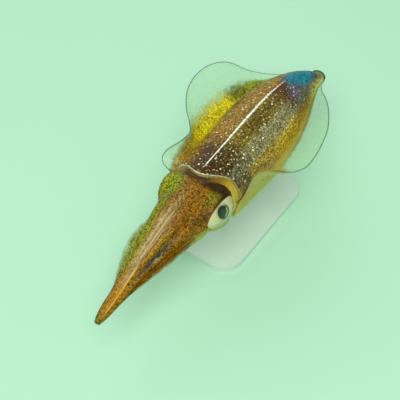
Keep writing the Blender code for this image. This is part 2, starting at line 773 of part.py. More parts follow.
def place_on_floor(collection):
    """Hangs every part on one empty, with the origin under the middle of the whole model, on the floor."""
    bodies = list(collection.objects)
    corners = [vertex.co for body in bodies for vertex in body.data.vertices]
    low = Vector(min(corner[axis] for corner in corners) for axis in range(3))
    high = Vector(max(corner[axis] for corner in corners) for axis in range(3))
    carrier = bpy.data.objects.new("squid_and_stand", None)
    collection.objects.link(carrier)
    for body in bodies:
        body.parent = carrier
        body.data.shade_smooth()
        body.data.set_sharp_from_angle(angle=SHARP_ANGLE)
    carrier.location = (-(low.x + high.x) / 2, -(low.y + high.y) / 2, -low.z)


def main():
    for left_over in list(bpy.data.objects):
        bpy.data.objects.remove(left_over)
    squid = bpy.data.collections.new("reef squid")
    helpers = bpy.data.collections.new("cutters")
    bpy.context.scene.collection.children.link(squid)
    bpy.context.scene.collection.children.link(helpers)

    def cutter(mesh):
        made = add_object(mesh.name, mesh, helpers)
        made.hide_render = True
        made.display_type = "WIRE"
        return made

    mantle_cutter = cutter(mantle_mesh("mantle clearance", CLEARANCE))
    lobe_cutter = cutter(tail_lobe_mesh("tail lobe clearance", CLEARANCE))
    head_cutter = cutter(head_mesh("head clearance", CLEARANCE))
    make_mantle(squid)
    make_fin("fin_left", LEFT, squid, [mantle_cutter, lobe_cutter])
    make_fin("fin_right", RIGHT, squid, [mantle_cutter, lobe_cutter])
    head = make_head(squid)
    for side_name, side in (("left", LEFT), ("right", RIGHT)):
        make_eye(f"eye_{side_name}", side, squid)
        cut(head, [cutter(eye_mesh(f"eye clearance {side_name}", side, EYE_HALF_SIZE, CLEARANCE))])
        for arm_name, arm in ARMS.items():
            make_arm(f"{arm_name}_{side_name}", arm, side, squid, head_cutter)
        make_tentacle(side_name, side, squid, head_cutter)
    make_funnel(squid)
    make_stand(squid, mantle_cutter)
    place_on_floor(squid)


main()
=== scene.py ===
"""Caribbean reef squid, dressed: one skin, clear fins, eyes, suckers, the stand's finish and a small studio.

Sizes are in metres. The squid's own frame has its zero at the mantle's front rim on the body's axis, with
the arms towards -X, the back towards +Z and the left side towards -Y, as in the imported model.
"""

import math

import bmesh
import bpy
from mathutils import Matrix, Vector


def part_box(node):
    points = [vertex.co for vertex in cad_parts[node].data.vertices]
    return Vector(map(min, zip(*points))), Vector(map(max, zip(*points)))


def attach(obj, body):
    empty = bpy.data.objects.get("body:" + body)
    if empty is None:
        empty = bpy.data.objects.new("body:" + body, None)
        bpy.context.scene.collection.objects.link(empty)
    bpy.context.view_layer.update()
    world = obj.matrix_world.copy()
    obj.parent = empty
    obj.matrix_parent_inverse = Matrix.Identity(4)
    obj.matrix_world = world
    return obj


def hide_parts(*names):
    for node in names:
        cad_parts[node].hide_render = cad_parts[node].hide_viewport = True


bl_info = {
    "name": "Reef Squid Model",
    "version": (1, 0, 0),
    "blender": (4, 5, 0),
    "location": "View3D > Sidebar > Squid",
    "description": "Dresses a life-size reef squid on its stand and sets it in a small studio",
    "category": "Object",
}

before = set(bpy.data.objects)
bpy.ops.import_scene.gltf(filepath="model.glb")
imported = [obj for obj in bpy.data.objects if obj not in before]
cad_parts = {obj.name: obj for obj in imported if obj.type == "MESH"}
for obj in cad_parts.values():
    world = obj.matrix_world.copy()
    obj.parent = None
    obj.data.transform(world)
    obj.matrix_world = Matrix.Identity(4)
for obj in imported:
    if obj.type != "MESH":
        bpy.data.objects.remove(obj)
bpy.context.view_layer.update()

MM = 0.001
LEFT, RIGHT = -1, 1
SIDES = {"left": LEFT, "right": RIGHT}

# Where the squid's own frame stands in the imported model
AXIS_HEIGHT = 62 * MM
BASE_MIDDLE = 36 * MM
BASE_LOW, BASE_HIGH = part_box("stand_base")
SQUID_AT = Vector(
    (
        (BASE_LOW.x + BASE_HIGH.x) / 2 - BASE_MIDDLE,
        (BASE_LOW.y + BASE_HIGH.y) / 2,
        BASE_LOW.z + AXIS_HEIGHT,
    )
)

# Mantle, in mm: place, half width, half height, height and sideways place of the middle
MANTLE_END = 155 * MM
MANTLE_WALL = 2.0 * MM
RECESS_DEPTH = 12 * MM
MANTLE_SECTIONS = (
    (0, 28.2, 25.8, 0.0, 0.0),
    (25, 29.8, 28.0, 0.0, 0.0),
    (55, 31.0, 29.5, 0.0, 0.5),
    (85, 29.0, 27.0, 0.5, 2.0),
    (112, 22.8, 21.0, 1.0, 3.3),
    (134, 15.0, 14.0, 1.0, 2.2),
    (148, 8.5, 8.0, 0.5, -1.0),
    (155, 5.5, 5.0, 0.0, -3.5),
)
TAIL_ROUNDING = 12 * MM
MANTLE_COLUMNS, MANTLE_RINGS = 150, 96
RIM_LOBES = ((-9.2, 0, 28), (-5.6, 104, 16), (3.0, 180, 35))
RIM_REST = 1.2
RIM_TURN = 3.6
RIM_FADE = 30 * MM
PEN_TURN = 3.5
PEN_RIDGE = 0.35 * MM
PEN_SPREAD = 2.6
PEN_END = 114 * MM

# Collar: the smooth ring between the neck and the mantle's rim, by the share of the mantle's section
COLLAR_SHARES = (0.9, 0.78)
COLLAR_AHEAD = 4.2 * MM
COLLAR_REAR = 8 * MM
COLLAR_LIP = 1.2 * MM
COLLAR_COLUMNS, COLLAR_RINGS = 120, 12

# Head, in mm: place, half width, half height and height of the middle
ARM_ROOT = -34 * MM
HEAD_SECTIONS = (
    (11.7, 17.5, 13.0, 4.0),
    (2, 21.8, 16.8, 3.0),
    (-4, 22.8, 17.6, 3.0),
    (-14, 23.4, 18.4, 3.0),
    (-24, 22.3, 18.6, 2.0),
    (-34, 20.6, 18.0, 1.0),
)
HEAD_FRONT_DOME = 9 * MM
HEAD_BOXINESS = 2.3
HEAD_COLUMNS, HEAD_RINGS = 96, 34

# Eyes, as ellipsoids: half length, half depth, half height
EYE_MIDDLE = Vector((-15.0 * MM, 18.0 * MM, 4.0 * MM))
EYE_HALF_SIZE = Vector((16.5 * MM, 10.4 * MM, 13.4 * MM))
# Half length, upper and lower half height of each eye's opening
EYE_OPENING = {LEFT: (15.8 * MM, 12.3 * MM, 7.6 * MM), RIGHT: (15.4 * MM, 8.6 * MM, 9.4 * MM)}
LID_LIFT = 0.8 * MM
LID_REST = 0.5 * MM
LID_SINK = 2.2 * MM
MOUND_COLUMNS, MOUND_ROWS = 128, 96
EYEBALL_COLUMNS, EYEBALL_ROWS = 96, 64
PUPIL_PLACE = {LEFT: (-2.8 * MM, 6.6 * MM), RIGHT: (-1.5 * MM, 1.2 * MM)}
PUPIL_HALF_SIZE = (5.0 * MM, 4.6 * MM)
PUPIL_TILT = math.radians(9)
PUPIL_DISH = 0.5 * MM
PUPIL_FURROW = 0.15 * MM
# The reach from the pupil or the opening that is given to the hidden inner half of an eye
INNER_HALF = 9.0

# Arm crown: its radius in mm from root (0) to tip (1), and the arms round it
ARM_CROWN_LENGTH = 97 * MM
ARM_DROOP = 14.5 * MM
CROWN_RADIUS = ((0.0, 20.0), (0.15, 17.6), (0.3, 13.6), (0.5, 9.8), (0.75, 6.4), (0.9, 4.4), (1.0, 2.6))
ARMS = {
    "dorsal": {"around": 22.5, "reach": 0.74, "thick": 0.94, "keel": 0.0},
    "dorsolateral": {"around": 67.0, "reach": 0.88, "thick": 0.98, "keel": 0.0},
    "lateral": {"around": 112.0, "reach": 1.0, "thick": 1.0, "keel": 9.5 * MM},
    "ventral": {"around": 157.5, "reach": 0.93, "thick": 0.98, "keel": 0.0},
}
RING_SHARE = 0.725
ARM_SHARE = 0.355
ARM_DEPTH_RATIO = 1.16
ARM_BOXINESS = 0.86
ARM_WEDGE = 0.1
ARM_ROOT_SHARE = -0.12
ARM_END_SHARE = 0.004
ARM_PRESS = 0.45 * MM
ARM_COLUMNS, ARM_RINGS = 24, 70
LONGEST_ARM_SWELLING = 0.28
KEEL_LIFT = {LEFT: math.radians(34), RIGHT: math.radians(6)}
CORE_SHARES = ((0.1, 0.5), (0.4, 0.62), (0.65, 0.78), (0.85, 0.98), (1.0, 1.0))
CORE_ROUNDING_START, CORE_ROUNDING = 0.955, 0.048
CORE_COLUMNS, CORE_RINGS = 32, 60
KEEL_THICKNESS = 0.7 * MM
KEEL_EDGE = 0.6 * MM
KEEL_COLUMNS, KEEL_ROWS = 16, 90
KEEL_LENGTH = 70
# Where the keels take their markings from, in degrees from the midline at their root, and how far outwards
KEEL_MARKING_TURN = {LEFT: 62, RIGHT: 46}
KEEL_MARKING_SPREAD = 14
SUCKER_PAIRS = 22
SUCKER_RADIUS_SHARE = 0.25
SMALLEST_SUCKER = 0.22 * MM
SUCKER_SIDES = 9
# A sucker's half outline, across and up, one unit in radius
SUCKER_OUTLINE = (
    (0.0, -1.2), (0.75, -1.2), (0.7, -0.3), (1.0, 0.0), (0.92, 0.3), (0.7, 0.28), (0.5, 0.0), (0.0, -0.15),
)
TENTACLE_RADII = (2.3 * MM, 0.5 * MM)
TENTACLE_SHARES = (-0.1, 0.84)
TENTACLE_SPREAD = 0.75 * MM
TENTACLE_COLUMNS, TENTACLE_RINGS = 14, 50

# Funnel
FUNNEL_REAR = 11.7 * MM
FUNNEL_FRONT = -22 * MM
FUNNEL_HALF_WIDTHS = (12.5 * MM, 3.5 * MM)
FUNNEL_HALF_HEIGHTS = (4.0 * MM, 2.3 * MM)
FUNNEL_SWELLING = 0.5 * MM
FUNNEL_HEIGHTS = (-18.6 * MM, -21.2 * MM)
FUNNEL_BORE_DEPTH = 7 * MM
FUNNEL_WALL = 1.0 * MM
FUNNEL_SLANT = 3.0 * MM
FUNNEL_COLUMNS, FUNNEL_RINGS = 48, 30

# Fins, in mm and degrees: width of the sheet and its angle over the level, along the mantle
FIN_WIDTH = (
    (-1, 3.0), (0, 8.5), (1.5, 12.5), (4, 15.5), (8, 16.0), (14, 16.5), (22, 18.3), (30, 20.5), (38, 25.0),
    (46, 30.5), (56, 35.5), (68, 38.3), (80, 38.6), (91, 36.5), (101, 32.0), (109, 26.5), (118, 20.0),
    (127, 14.0), (137, 8.5), (147, 4.5), (157, 2.0),
)
FIN_ANGLE = {
    "right": (
        (-1, 10), (4, 18), (9, 54), (14, 68), (22, 78), (29, 66), (38, 49), (50, 41), (63, 38), (77, 38),
        (90, 39), (101, 38), (109, 30), (118, 14), (127, 0), (137, -14), (147, -26), (157, -28),
    ),
    "left": (
        (-1, 62), (8, 76), (16, 84), (24, 74), (31, 48), (36, 33), (44, 29), (52, 34), (62, 40), (74, 45),
        (90, 54), (106, 60), (119, 64), (132, 60), (146, 40), (157, 10),
    ),
}
# How far the coloured skin runs out over the fin, in mm, along the mantle
FIN_FRINGE = {
    "right": (
        (-1, 6), (8, 10), (16, 16), (24, 19), (40, 18), (56, 17.5), (72, 17), (88, 15.5), (104, 12),
        (116, 7), (128, 4), (157, 3),
    ),
    "left": (
        (-1, 40), (16, 40), (26, 40), (34, 32), (40, 14), (46, 10), (88, 9), (104, 8), (120, 6),
        (140, 4), (157, 3),
    ),
}
# Where the dark edge line begins, in mm along the mantle
FIN_LINE_START = {"right": (-4, 0), "left": (30, 38)}
FIN_CURL = 14.0
FIN_LOBE_SWEEP = 3.5
FIN_LOBE_END = 14
FIN_ROOT_AROUND = math.radians(80)
FIN_ROOT_SUNK = 1.5 * MM
FIN_ROOT_THICKNESS = 2.4 * MM
FIN_EDGE_SHARE = 0.28
FIN_BEND_STEPS = 12
FIN_COLUMNS, FIN_ROWS = 44, 170
# Where the fins take their markings from, in degrees from the midline at their root, and how far outwards
FIN_MARKING_TURN, FIN_MARKING_SPREAD = 80, 12
TAIL_FOLD_HALF_SIZE = Vector((4.4 * MM, 6.5 * MM, 0.9 * MM))
TAIL_FOLD_TILT = math.radians(-52)
TAIL_FOLD_CURL = 2.0 * MM
TAIL_FOLD_COLUMNS, TAIL_FOLD_ROWS = 40, 24

# Camera, fitted to the photograph: the point it was fitted on, its direction and distance, and its lens
VIEW_POINT = Vector((12 * MM, 0, 0))
VIEW_AZIMUTH = math.radians(-55.1)
VIEW_ELEVATION = math.radians(48.7)
VIEW_DISTANCE = 0.679
PHOTO_SIZE = 400
VIEW_POINT_PIXEL = (216.9, 180.4)
FOCAL_PIXELS = 909.8
SENSOR_WIDTH = 36.0

# Studio: the floor's half size and drop, and each lamp's place from the squid, width and colour
FLOOR_HALF_SIZE = 4.0
FLOOR_DROP = 0.1 * MM
LAMPS = {
    "studio_key": ((-0.9, -0.5, 1.6), 1.4, (1.0, 1.0, 0.97)),
    "studio_fill": ((1.0, 1.2, 1.0), 1.6, (0.95, 1.0, 1.0)),
}
SURROUNDINGS_COLOUR = (0.80, 0.97, 0.86, 1.0)

# Colours of the skin and the eyes, linear
COLOURS = {
    "umber": (0.022, 0.009, 0.001),
    "brown": (0.050, 0.024, 0.001),
    "red brown": (0.100, 0.036, 0.005),
    "olive brown": (0.180, 0.125, 0.006),
    "rust": (0.340, 0.165, 0.008),
    "orange": (0.285, 0.120, 0.002),
    "amber": (0.220, 0.122, 0.001),
    "gold": (0.480, 0.310, 0.014),
    "yellow": (0.640, 0.540, 0.002),
    "moss": (0.260, 0.290, 0.004),
    "olive": (0.110, 0.120, 0.008),
    "tan": (0.290, 0.210, 0.040),
    "pale olive": (0.500, 0.530, 0.100),
    "straw": (0.500, 0.430, 0.072),
    # The next colour is partly the flank's own pale green and partly painted light: it is made lighter where
    # the lower left flank turns away from the lamps
    "pale green with painted light": (0.620, 0.720, 0.260),
    "pink tan": (0.360, 0.265, 0.085),
    "edge tan": (0.460, 0.395, 0.075),
    "bright orange": (0.460, 0.190, 0.004),
    "pink cream": (0.720, 0.560, 0.360),
    "belly": (0.620, 0.560, 0.360),
    "silver": (0.230, 0.205, 0.080),
    "slate": (0.120, 0.112, 0.050),
    "teal": (0.002, 0.215, 0.300),
    "purple": (0.110, 0.085, 0.150),
    "cream": (0.860, 0.800, 0.520),
    "gold fleck": (0.620, 0.420, 0.090),
    "silver fleck": (0.460, 0.430, 0.280),
    "white fleck": (0.980, 0.880, 0.580),
    "straw dash": (0.900, 0.820, 0.300),
    "pen white": (0.980, 0.920, 0.760),
    "pen pink": (0.780, 0.540, 0.500),
    "fold green": (0.220, 0.460, 0.200),
    "fold shade": (0.140, 0.280, 0.130),
    "fold rim": (0.035, 0.085, 0.012),
    "eye streak": (0.500, 0.500, 0.240),
    "eye cloud": (0.460, 0.520, 0.340),
    "eye ring": (0.360, 0.400, 0.180),
    "eye low": (0.200, 0.240, 0.100),
    "eye outline": (0.010, 0.020, 0.010),
    "eye depth": (0.006, 0.050, 0.018),
    # The next colour is a painted highlight: the light crescent inside each pupil
    "painted eye highlight": (0.420, 0.460, 0.120),
}

# Mantle colours round the body, from its left flank (negative degrees) over the back to its right flank
MANTLE_BANDS = {
    "front": (
        (-136, "belly"), (-120, "pale olive"), (-108, "pale olive"), (-97, "edge tan"), (-66, "pink tan"),
        (-58, "slate"), (-44, "slate"), (-34, "slate"), (-25, "brown"), (-2, "brown"), (24, "red brown"),
        (50, "rust"), (76, "gold"), (94, "tan"), (118, "belly"),
    ),
    "middle": (
        (-136, "belly"), (-120, "pale olive"), (-106, "pale olive"), (-92, "edge tan"), (-80, "edge tan"),
        (-68, "gold"), (-54, "gold"), (-42, "silver"), (-28, "silver"), (-20, "olive brown"),
        (4, "olive brown"), (12, "rust"), (44, "rust"), (60, "yellow"), (90, "yellow"), (104, "tan"),
        (122, "belly"),
    ),
    "rear": (
        # The pale green low on the rear left flank is partly the flank's own colour and partly painted light
        (-136, "belly"), (-120, "pale green with painted light"), (-100, "edge tan"), (-74, "edge tan"), (-58, "rust"),
        (-46, "slate"), (-28, "red brown"), (2, "red brown"), (14, "rust"), (42, "rust"), (62, "moss"),
        (90, "moss"), (102, "tan"), (118, "belly"),
    ),
}
MANTLE_STATIONS = ((12, 36), (78, 98))
COLLAR_BANDS = (
    (-150, "pale olive"), (-110, "pale olive"), (-58, "straw"), (-46, "gold"), (-28, "amber"),
    (-10, "brown"), (30, "red brown"), (60, "pink tan"), (110, "pale olive"),
)

# Patches: place along the body in mm and round it in degrees, half sizes, softness, colour and strength
MANTLE_PATCHES = (
    (128, -8, 17, 35, 0.35, "teal", 1.0),
    (109, -27, 9, 13, 0.6, "purple", 0.9),
    (119, -48, 14, 14, 0.6, "slate", 0.75),
    (140, -76, 22, 30, 0.4, "edge tan", 0.9),
    # The next patch is partly the flank's own pale green and partly painted light, lighter where the lower
    # rear left flank turns away from the lamps
    (140, -82, 18, 22, 0.6, "pale green with painted light", 0.9),
    (153, 0, 5, 180, 0.5, "pink tan", 0.8),
    (62, -12, 22, 9, 0.7, "brown", 0.4),
    (70, 42, 12, 8, 0.7, "brown", 0.5),
    (12, -88, 28, 15, 0.4, "edge tan", 0.95),
    (34, -68, 15, 11, 0.6, "pink tan", 0.8),
    (90, 87, 9, 6, 0.6, "olive", 0.9),
)
HEAD_PATCHES = (
    (-14, 34, 30, 26, 0.6, "red brown", 0.25),
    # The next two patches are painted shade: a dark band on the head just in front of the collar, where the
    # head runs in under the mantle's rim
    (-5, -30, 9, 34, 0.5, "umber", 0.95),
    (-3, 30, 7, 60, 0.5, "brown", 0.9),
    (-22, 42, 12, 20, 0.6, "moss", 0.95),
    (-18, -40, 6, 8, 0.8, "moss", 0.6),
    (-13, -52, 9, 6, 0.6, "umber", 0.8),
    (-32, -56, 9, 9, 0.7, "umber", 0.45),
    (-15, 180, 46, 62, 0.4, "belly", 0.9),
    (-15, -180, 46, 62, 0.4, "belly", 0.9),
    (-20, -116, 30, 26, 0.4, "pale olive", 0.9),
    (-20, 118, 30, 26, 0.4, "pale olive", 0.9),
)
ARM_PATCHES = (
    (-64, 4, 34, 13, 0.5, "pink tan", 0.95),
    (-90, 14, 24, 14, 0.5, "pink tan", 0.6),
    (-60, 48, 44, 20, 0.5, "moss", 0.8),
    (-76, -50, 20, 11, 0.5, "slate", 0.8),
    (-68, -48, 5, 6, 0.6, "umber", 0.6),
    (-80, -50, 9, 6, 0.6, "umber", 0.8),
    (-92, -52, 5, 6, 0.6, "umber", 0.5),
    (-73, -61, 4, 6, 0.6, "pink tan", 0.9),
    (-66, -26, 12, 7, 0.6, "gold", 0.5),
    (-116, -20, 26, 120, 0.4, "amber", 0.95),
    (-110, -8, 14, 60, 0.6, "bright orange", 0.7),
    (-132, 0, 4, 180, 0.5, "olive", 0.7),
    (-60, -118, 44, 24, 0.5, "moss", 0.5),
    (-60, 124, 44, 40, 0.5, "pale olive", 0.7),
    (-70, 180, 60, 46, 0.5, "belly", 0.8),
    (-70, -180, 60, 46, 0.5, "belly", 0.8),
)
# Where a marking lies, in degrees round the body or in mm along it: it rises from the first value to the
# second, and fades from the third to the fourth
REACHES = {
    "spotted back": (-78.0, -62.0, 84.0, 104.0),
    "gold flecks": (-82.0, -66.0, 92.0, 104.0),
    "white flecks": (-66.0, -52.0, 76.0, 92.0),
    "dashes round": (-88.0, -78.0, -62.0, -54.0),
    "dashes along": (36.0, 46.0, 108.0, 118.0),
    "pen line": (-3.0, 3.0, 106.0, 116.0),
    "pale rim": (-72.0, -54.0, 84.0, 110.0),
    "smooth skin round": (-14.0, -2.0, 26.0, 44.0),
    "smooth skin along": (-118.0, -104.0, -50.0, -36.0),
    "threads round": (-26.0, -14.0, 26.0, 40.0),
    "threads along": (-112.0, -98.0, -46.0, -34.0),
}
# The same for the lines round a pupil, where 1 is the pupil's edge
PUPIL_OUTLINE = (0.98, 1.04, 1.12, 1.2)
# The pupil's crescent is a painted highlight: a light arc just inside the pupil's edge, on its lower rear
# side
PUPIL_PAINTED_HIGHLIGHT = (0.66, 0.76, 0.86, 0.94)
STREAK_END = 5.0
# Spots: their spacing, their radius as a share of it, the share of them that is kept, and their softness
SPOTS = {
    "small cells": (1.15 * MM, 0.38, 0.8, 0.3),
    "large cells": (2.0 * MM, 0.32, 0.7, 0.25),
    "large head cells": (1.9 * MM, 0.32, 0.7, 0.25),
    "gold flecks": (1.9 * MM, 0.28, 0.6, 0.4),
    "silver flecks": (1.5 * MM, 0.34, 0.7, 0.4),
    "white flecks": (3.5 * MM, 0.175, 0.85, 0.35),
    "motes": (2.4 * MM, 0.145, 0.6, 0.4),
    "dashes": (5.0, 0.22, 0.6, 0.3),
    "fin dots": (1.5 * MM, 0.3, 0.7, 0.4),
    "eye specks": (1.0 * MM, 0.3, 0.6, 0.4),
}
GRAIN_SPACING = 0.9 * MM
# The silver sheen over the left side of the back, with its softness and strength
SILVER_SHEEN = (50.0, -36.0, 64.0, 14.0, 0.6, 1.0)
# Bright streaks along the arms: from and to, in mm, the angle at 0 and its change for each mm, half width in
# degrees, strength and colour
ARM_STREAKS = (
    (-82, -42, 3.0, 0.04, 4.5, 0.7, (0.70, 0.50, 0.30)),
    (-76, -56, -14.0, -0.05, 3.5, 0.5, (0.70, 0.50, 0.30)),
    (-98, -72, 38.0, 0.55, 4.5, 0.6, (0.66, 0.50, 0.30)),
    (-124, -86, 43.0, 0.66, 7.0, 0.75, (0.72, 0.44, 0.05)),
)


# Small helpers for curves and meshes


def smooth(stations, place, column=1):
    """The value in a column at a place on the smooth curve through the stations."""
    rows = sorted(stations)
    place = min(max(place, rows[0][0]), rows[-1][0])
    index = max(i for i in range(len(rows) - 1) if rows[i][0] <= place)

    def slope(i):
        low, high = max(i - 1, 0), min(i + 1, len(rows) - 1)
        return (rows[high][column] - rows[low][column]) / (rows[high][0] - rows[low][0])

    start, end = rows[index], rows[index + 1]
    span = end[0] - start[0]
    t = (place - start[0]) / span
    return (
        (2 * t**3 - 3 * t**2 + 1) * start[column]
        + (t**3 - 2 * t**2 + t) * span * slope(index)
        + (3 * t**2 - 2 * t**3) * end[column]
        + (t**3 - t**2) * span * slope(index + 1)
    )


def ease(low, high, value):
    """0 below low, 1 above high and smooth between."""
    t = min(max((value - low) / (high - low), 0.0), 1.0)
    return t * t * (3 - 2 * t)


def between(pair, share):
    """The value at a share of the way from the first to the second."""
    return pair[0] + (pair[1] - pair[0]) * share


def bell(value, middle, spread):
    """1 at the middle, and less the further the value is from it."""
    return math.exp(-(((value - middle) / spread) ** 2))


def power(value, exponent):
    """A signed power, for sections that are boxier than an ellipse."""
    return math.copysign(abs(value) ** exponent, value)


def finished_mesh(name, shape):
    mesh = bpy.data.meshes.new(name)
    shape.to_mesh(mesh)
    shape.free()
    return mesh


def grid_mesh(name, columns, rows, place, closed=True):
    """A grid bent by place(along, around), both 0 to 1. A closed one has its seams and poles merged."""
    shape = bmesh.new()
    bmesh.ops.create_grid(shape, x_segments=columns, y_segments=rows, size=1.0)
    for vertex in shape.verts:
        vertex.co = place((vertex.co.y + 1) / 2, (vertex.co.x + 1) / 2)
    if closed:
        bmesh.ops.remove_doubles(shape, verts=shape.verts, dist=0.001 * MM)
        bmesh.ops.recalc_face_normals(shape, faces=shape.faces)
    return finished_mesh(name, shape)


def tube_mesh(name, columns, rings, station):
    """A tube with closed ends. station(part) gives its end point there and its skin at an angle."""

    def place(along, round_share):
        step = along * (rings + 2)
        end, skin_at = station(min(max((step - 1) / rings, 0.0), 1.0))
        return skin_at(math.tau * round_share) if 0.5 < step < rings + 1.5 else end

    return grid_mesh(name, columns, rings + 2, place)


def sphere_mesh(name, half_size, columns, rows):
    shape = bmesh.new()
    bmesh.ops.create_uvsphere(shape, u_segments=columns, v_segments=rows, radius=1.0)
    bmesh.ops.scale(shape, vec=half_size, verts=shape.verts)
    return finished_mesh(name, shape)


def gathered(name, meshes):
    """One mesh that holds all the meshes, which are removed."""
    shape = bmesh.new()
    for mesh in meshes:
        shape.from_mesh(mesh)
        bpy.data.meshes.remove(mesh)
    return finished_mesh(name, shape)


def add_piece(name, mesh, finish=None):
    """An object at the origin, with its place in its mesh."""
    piece = bpy.data.objects.new(name, mesh)
    bpy.context.scene.collection.objects.link(piece)
    if finish:
        mesh.materials.append(finish)
    mesh.shade_smooth()
    return piece


def apply_modifiers(piece):
    graph = bpy.context.evaluated_depsgraph_get()
    mesh = bpy.data.meshes.new_from_object(piece.evaluated_get(graph))
    piece.modifiers.clear()
    piece.data = mesh


def turn_faces_out(mesh):
    shape = bmesh.new()
    shape.from_mesh(mesh)
    bmesh.ops.recalc_face_normals(shape, faces=shape.faces)
    shape.to_mesh(mesh)
    shape.free()
    mesh.shade_smooth()


def into_place(piece):
    """Moves the mesh from the squid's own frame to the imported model's."""
    piece.data.transform(Matrix.Translation(SQUID_AT))


def store(mesh, name, values):
    """Keeps one vector for each vertex, for the material to read."""
    layer = mesh.attributes.new(name, "FLOAT_VECTOR", "POINT")
    for item, value in zip(layer.data, values):
        item.vector = value


# Shapes of the body


def mantle_section(x):
    """Half width, half height and the middle's height and sideways place along the mantle."""
    half_width, half_height, middle, bend = (
        smooth(MANTLE_SECTIONS, x / MM, column) * MM for column in (1, 2, 3, 4)
    )
    past = max(0.0, (x - (MANTLE_END - TAIL_ROUNDING)) / TAIL_ROUNDING)
    rounding = math.sqrt(max(0.0, 1 - past**2.4))
    return half_width * rounding, half_height * rounding, middle, bend


def rim_shift(around):
    """How far the front rim stands back at an angle from the back's midline, in radians."""
    degrees = abs(math.degrees(around))
    lobes = sum(height * bell(degrees, place, spread) for height, place, spread in RIM_LOBES)
    turn = RIM_TURN * math.sin(2 * around) * (1 - ease(80, 100, degrees))
    return (RIM_REST + lobes - turn) * MM


def mantle_point(x, around, wall=0.0):
    half_width, half_height, middle, bend = mantle_section(x)
    fade = 1 - ease(0, RIM_FADE, x)
    ridge = PEN_RIDGE * bell(math.degrees(around), PEN_TURN, PEN_SPREAD)
    ridge *= 1 - ease(PEN_END - 20 * MM, PEN_END, x)
    return Vector(
        (
            x + rim_shift(around) * fade,
            bend + (half_width - wall) * math.sin(around),
            middle + (half_height - wall) * math.cos(around) + (0.0 if wall else ridge),
        )
    )


def mantle_mesh():
    tail_start = MANTLE_END - TAIL_ROUNDING
    lip = MANTLE_WALL / 2
    rows = [("floor", share) for share in (0.0, 0.3, 0.6, 0.92)]
    rows += [("inner", x) for x in (RECESS_DEPTH - lip, RECESS_DEPTH * 0.75, RECESS_DEPTH / 2, 2 * lip, lip)]
    rows += [("lip", angle) for angle in (-60, -30, 0, 30, 60)]
    rows += [("outer", between((lip, tail_start), i / MANTLE_RINGS)) for i in range(MANTLE_RINGS + 1)]
    rows += [("outer", tail_start + TAIL_ROUNDING * math.sin(math.radians(a))) for a in range(10, 86, 8)]
    rows += [("tip", 0.0)]
    count = len(rows) - 1

    def place(along, round_share):
        around = math.tau * round_share - math.pi
        kind, value = rows[round(along * count)]
        if kind == "floor":
            point = Vector((0, 0, 0)).lerp(mantle_point(RECESS_DEPTH, around, MANTLE_WALL * 1.4), value)
            point.x = RECESS_DEPTH
        elif kind == "inner":
            point = mantle_point(value, around, MANTLE_WALL)
            if value > RECESS_DEPTH * 0.6:
                point.x = value
        elif kind == "lip":
            share = (math.sin(math.radians(value)) + 1) / 2
            point = mantle_point(0, around, MANTLE_WALL).lerp(mantle_point(0, around), share)
            point.x += MANTLE_WALL / 2 * (1 - math.cos(math.radians(value)))
        elif kind == "tip":
            _, _, middle, bend = mantle_section(MANTLE_END)
            point = Vector((MANTLE_END, bend, middle))
        else:
            point = mantle_point(value, around)
        return point

    return grid_mesh("mantle", MANTLE_COLUMNS, count, place)


def collar_mesh():
    """The smooth ring of skin that stands out of the mantle's front, round the neck."""
    rows = [("outer", 1 - i / COLLAR_RINGS) for i in range(COLLAR_RINGS + 1)]
    rows += [("lip", angle) for angle in (60, 30, 0, -30, -60)]
    rows += [("inner", i / COLLAR_RINGS) for i in range(COLLAR_RINGS + 1)]
    count = len(rows)
    outer, inner = COLLAR_SHARES

    def place(along, round_share):
        around = math.tau * round_share - math.pi
        kind, value = rows[round(along * count) % count]
        front = rim_shift(around) - COLLAR_AHEAD
        half_width, half_height, middle, _ = mantle_section(0)
        if kind == "lip":
            share = (outer + inner) / 2 + (outer - inner) / 2 * math.sin(math.radians(value))
            x = front + COLLAR_LIP * (1 - math.cos(math.radians(value)))
        else:
            share = outer if kind == "outer" else inner
            x = front + COLLAR_LIP + (COLLAR_REAR - front) * value
        across, up = half_width * share * math.sin(around), half_height * share * math.cos(around)
        return Vector((x, across, middle + up))

    return grid_mesh("collar", COLLAR_COLUMNS, count, place)


def head_section(x):
    """Half width, half height and the middle's height along the head."""
    return (smooth(HEAD_SECTIONS, x / MM, column) * MM for column in (1, 2, 3))


def head_mesh():
    neck_end = HEAD_SECTIONS[0][0] * MM
    rows = [("neck", 0.0), ("neck", 1.0)]
    rows += [("side", between((neck_end, ARM_ROOT), i / HEAD_RINGS)) for i in range(1, HEAD_RINGS + 1)]
    rows += [("dome", math.radians(angle)) for angle in range(10, 91, 10)]
    count = len(rows) - 1
    exponent = 2 / HEAD_BOXINESS

    def place(along, round_share):
        around = math.tau * round_share
        kind, value = rows[round(along * count)]
        x = {"neck": neck_end, "side": value, "dome": ARM_ROOT}[kind]
        half_width, half_height, middle = head_section(x)
        share = {"neck": value, "side": 1.0, "dome": math.cos(value)}[kind]
        if kind == "dome":
            x -= HEAD_FRONT_DOME * math.sin(value)
        return Vector(
            (
                x,
                half_width * share * power(math.sin(around), exponent),
                middle + half_height * share * power(math.cos(around), exponent),
            )
        )

    return grid_mesh("head", HEAD_COLUMNS, count, place)


def eye_middle(side):
    return Vector((EYE_MIDDLE.x, side * EYE_MIDDLE.y, EYE_MIDDLE.z))


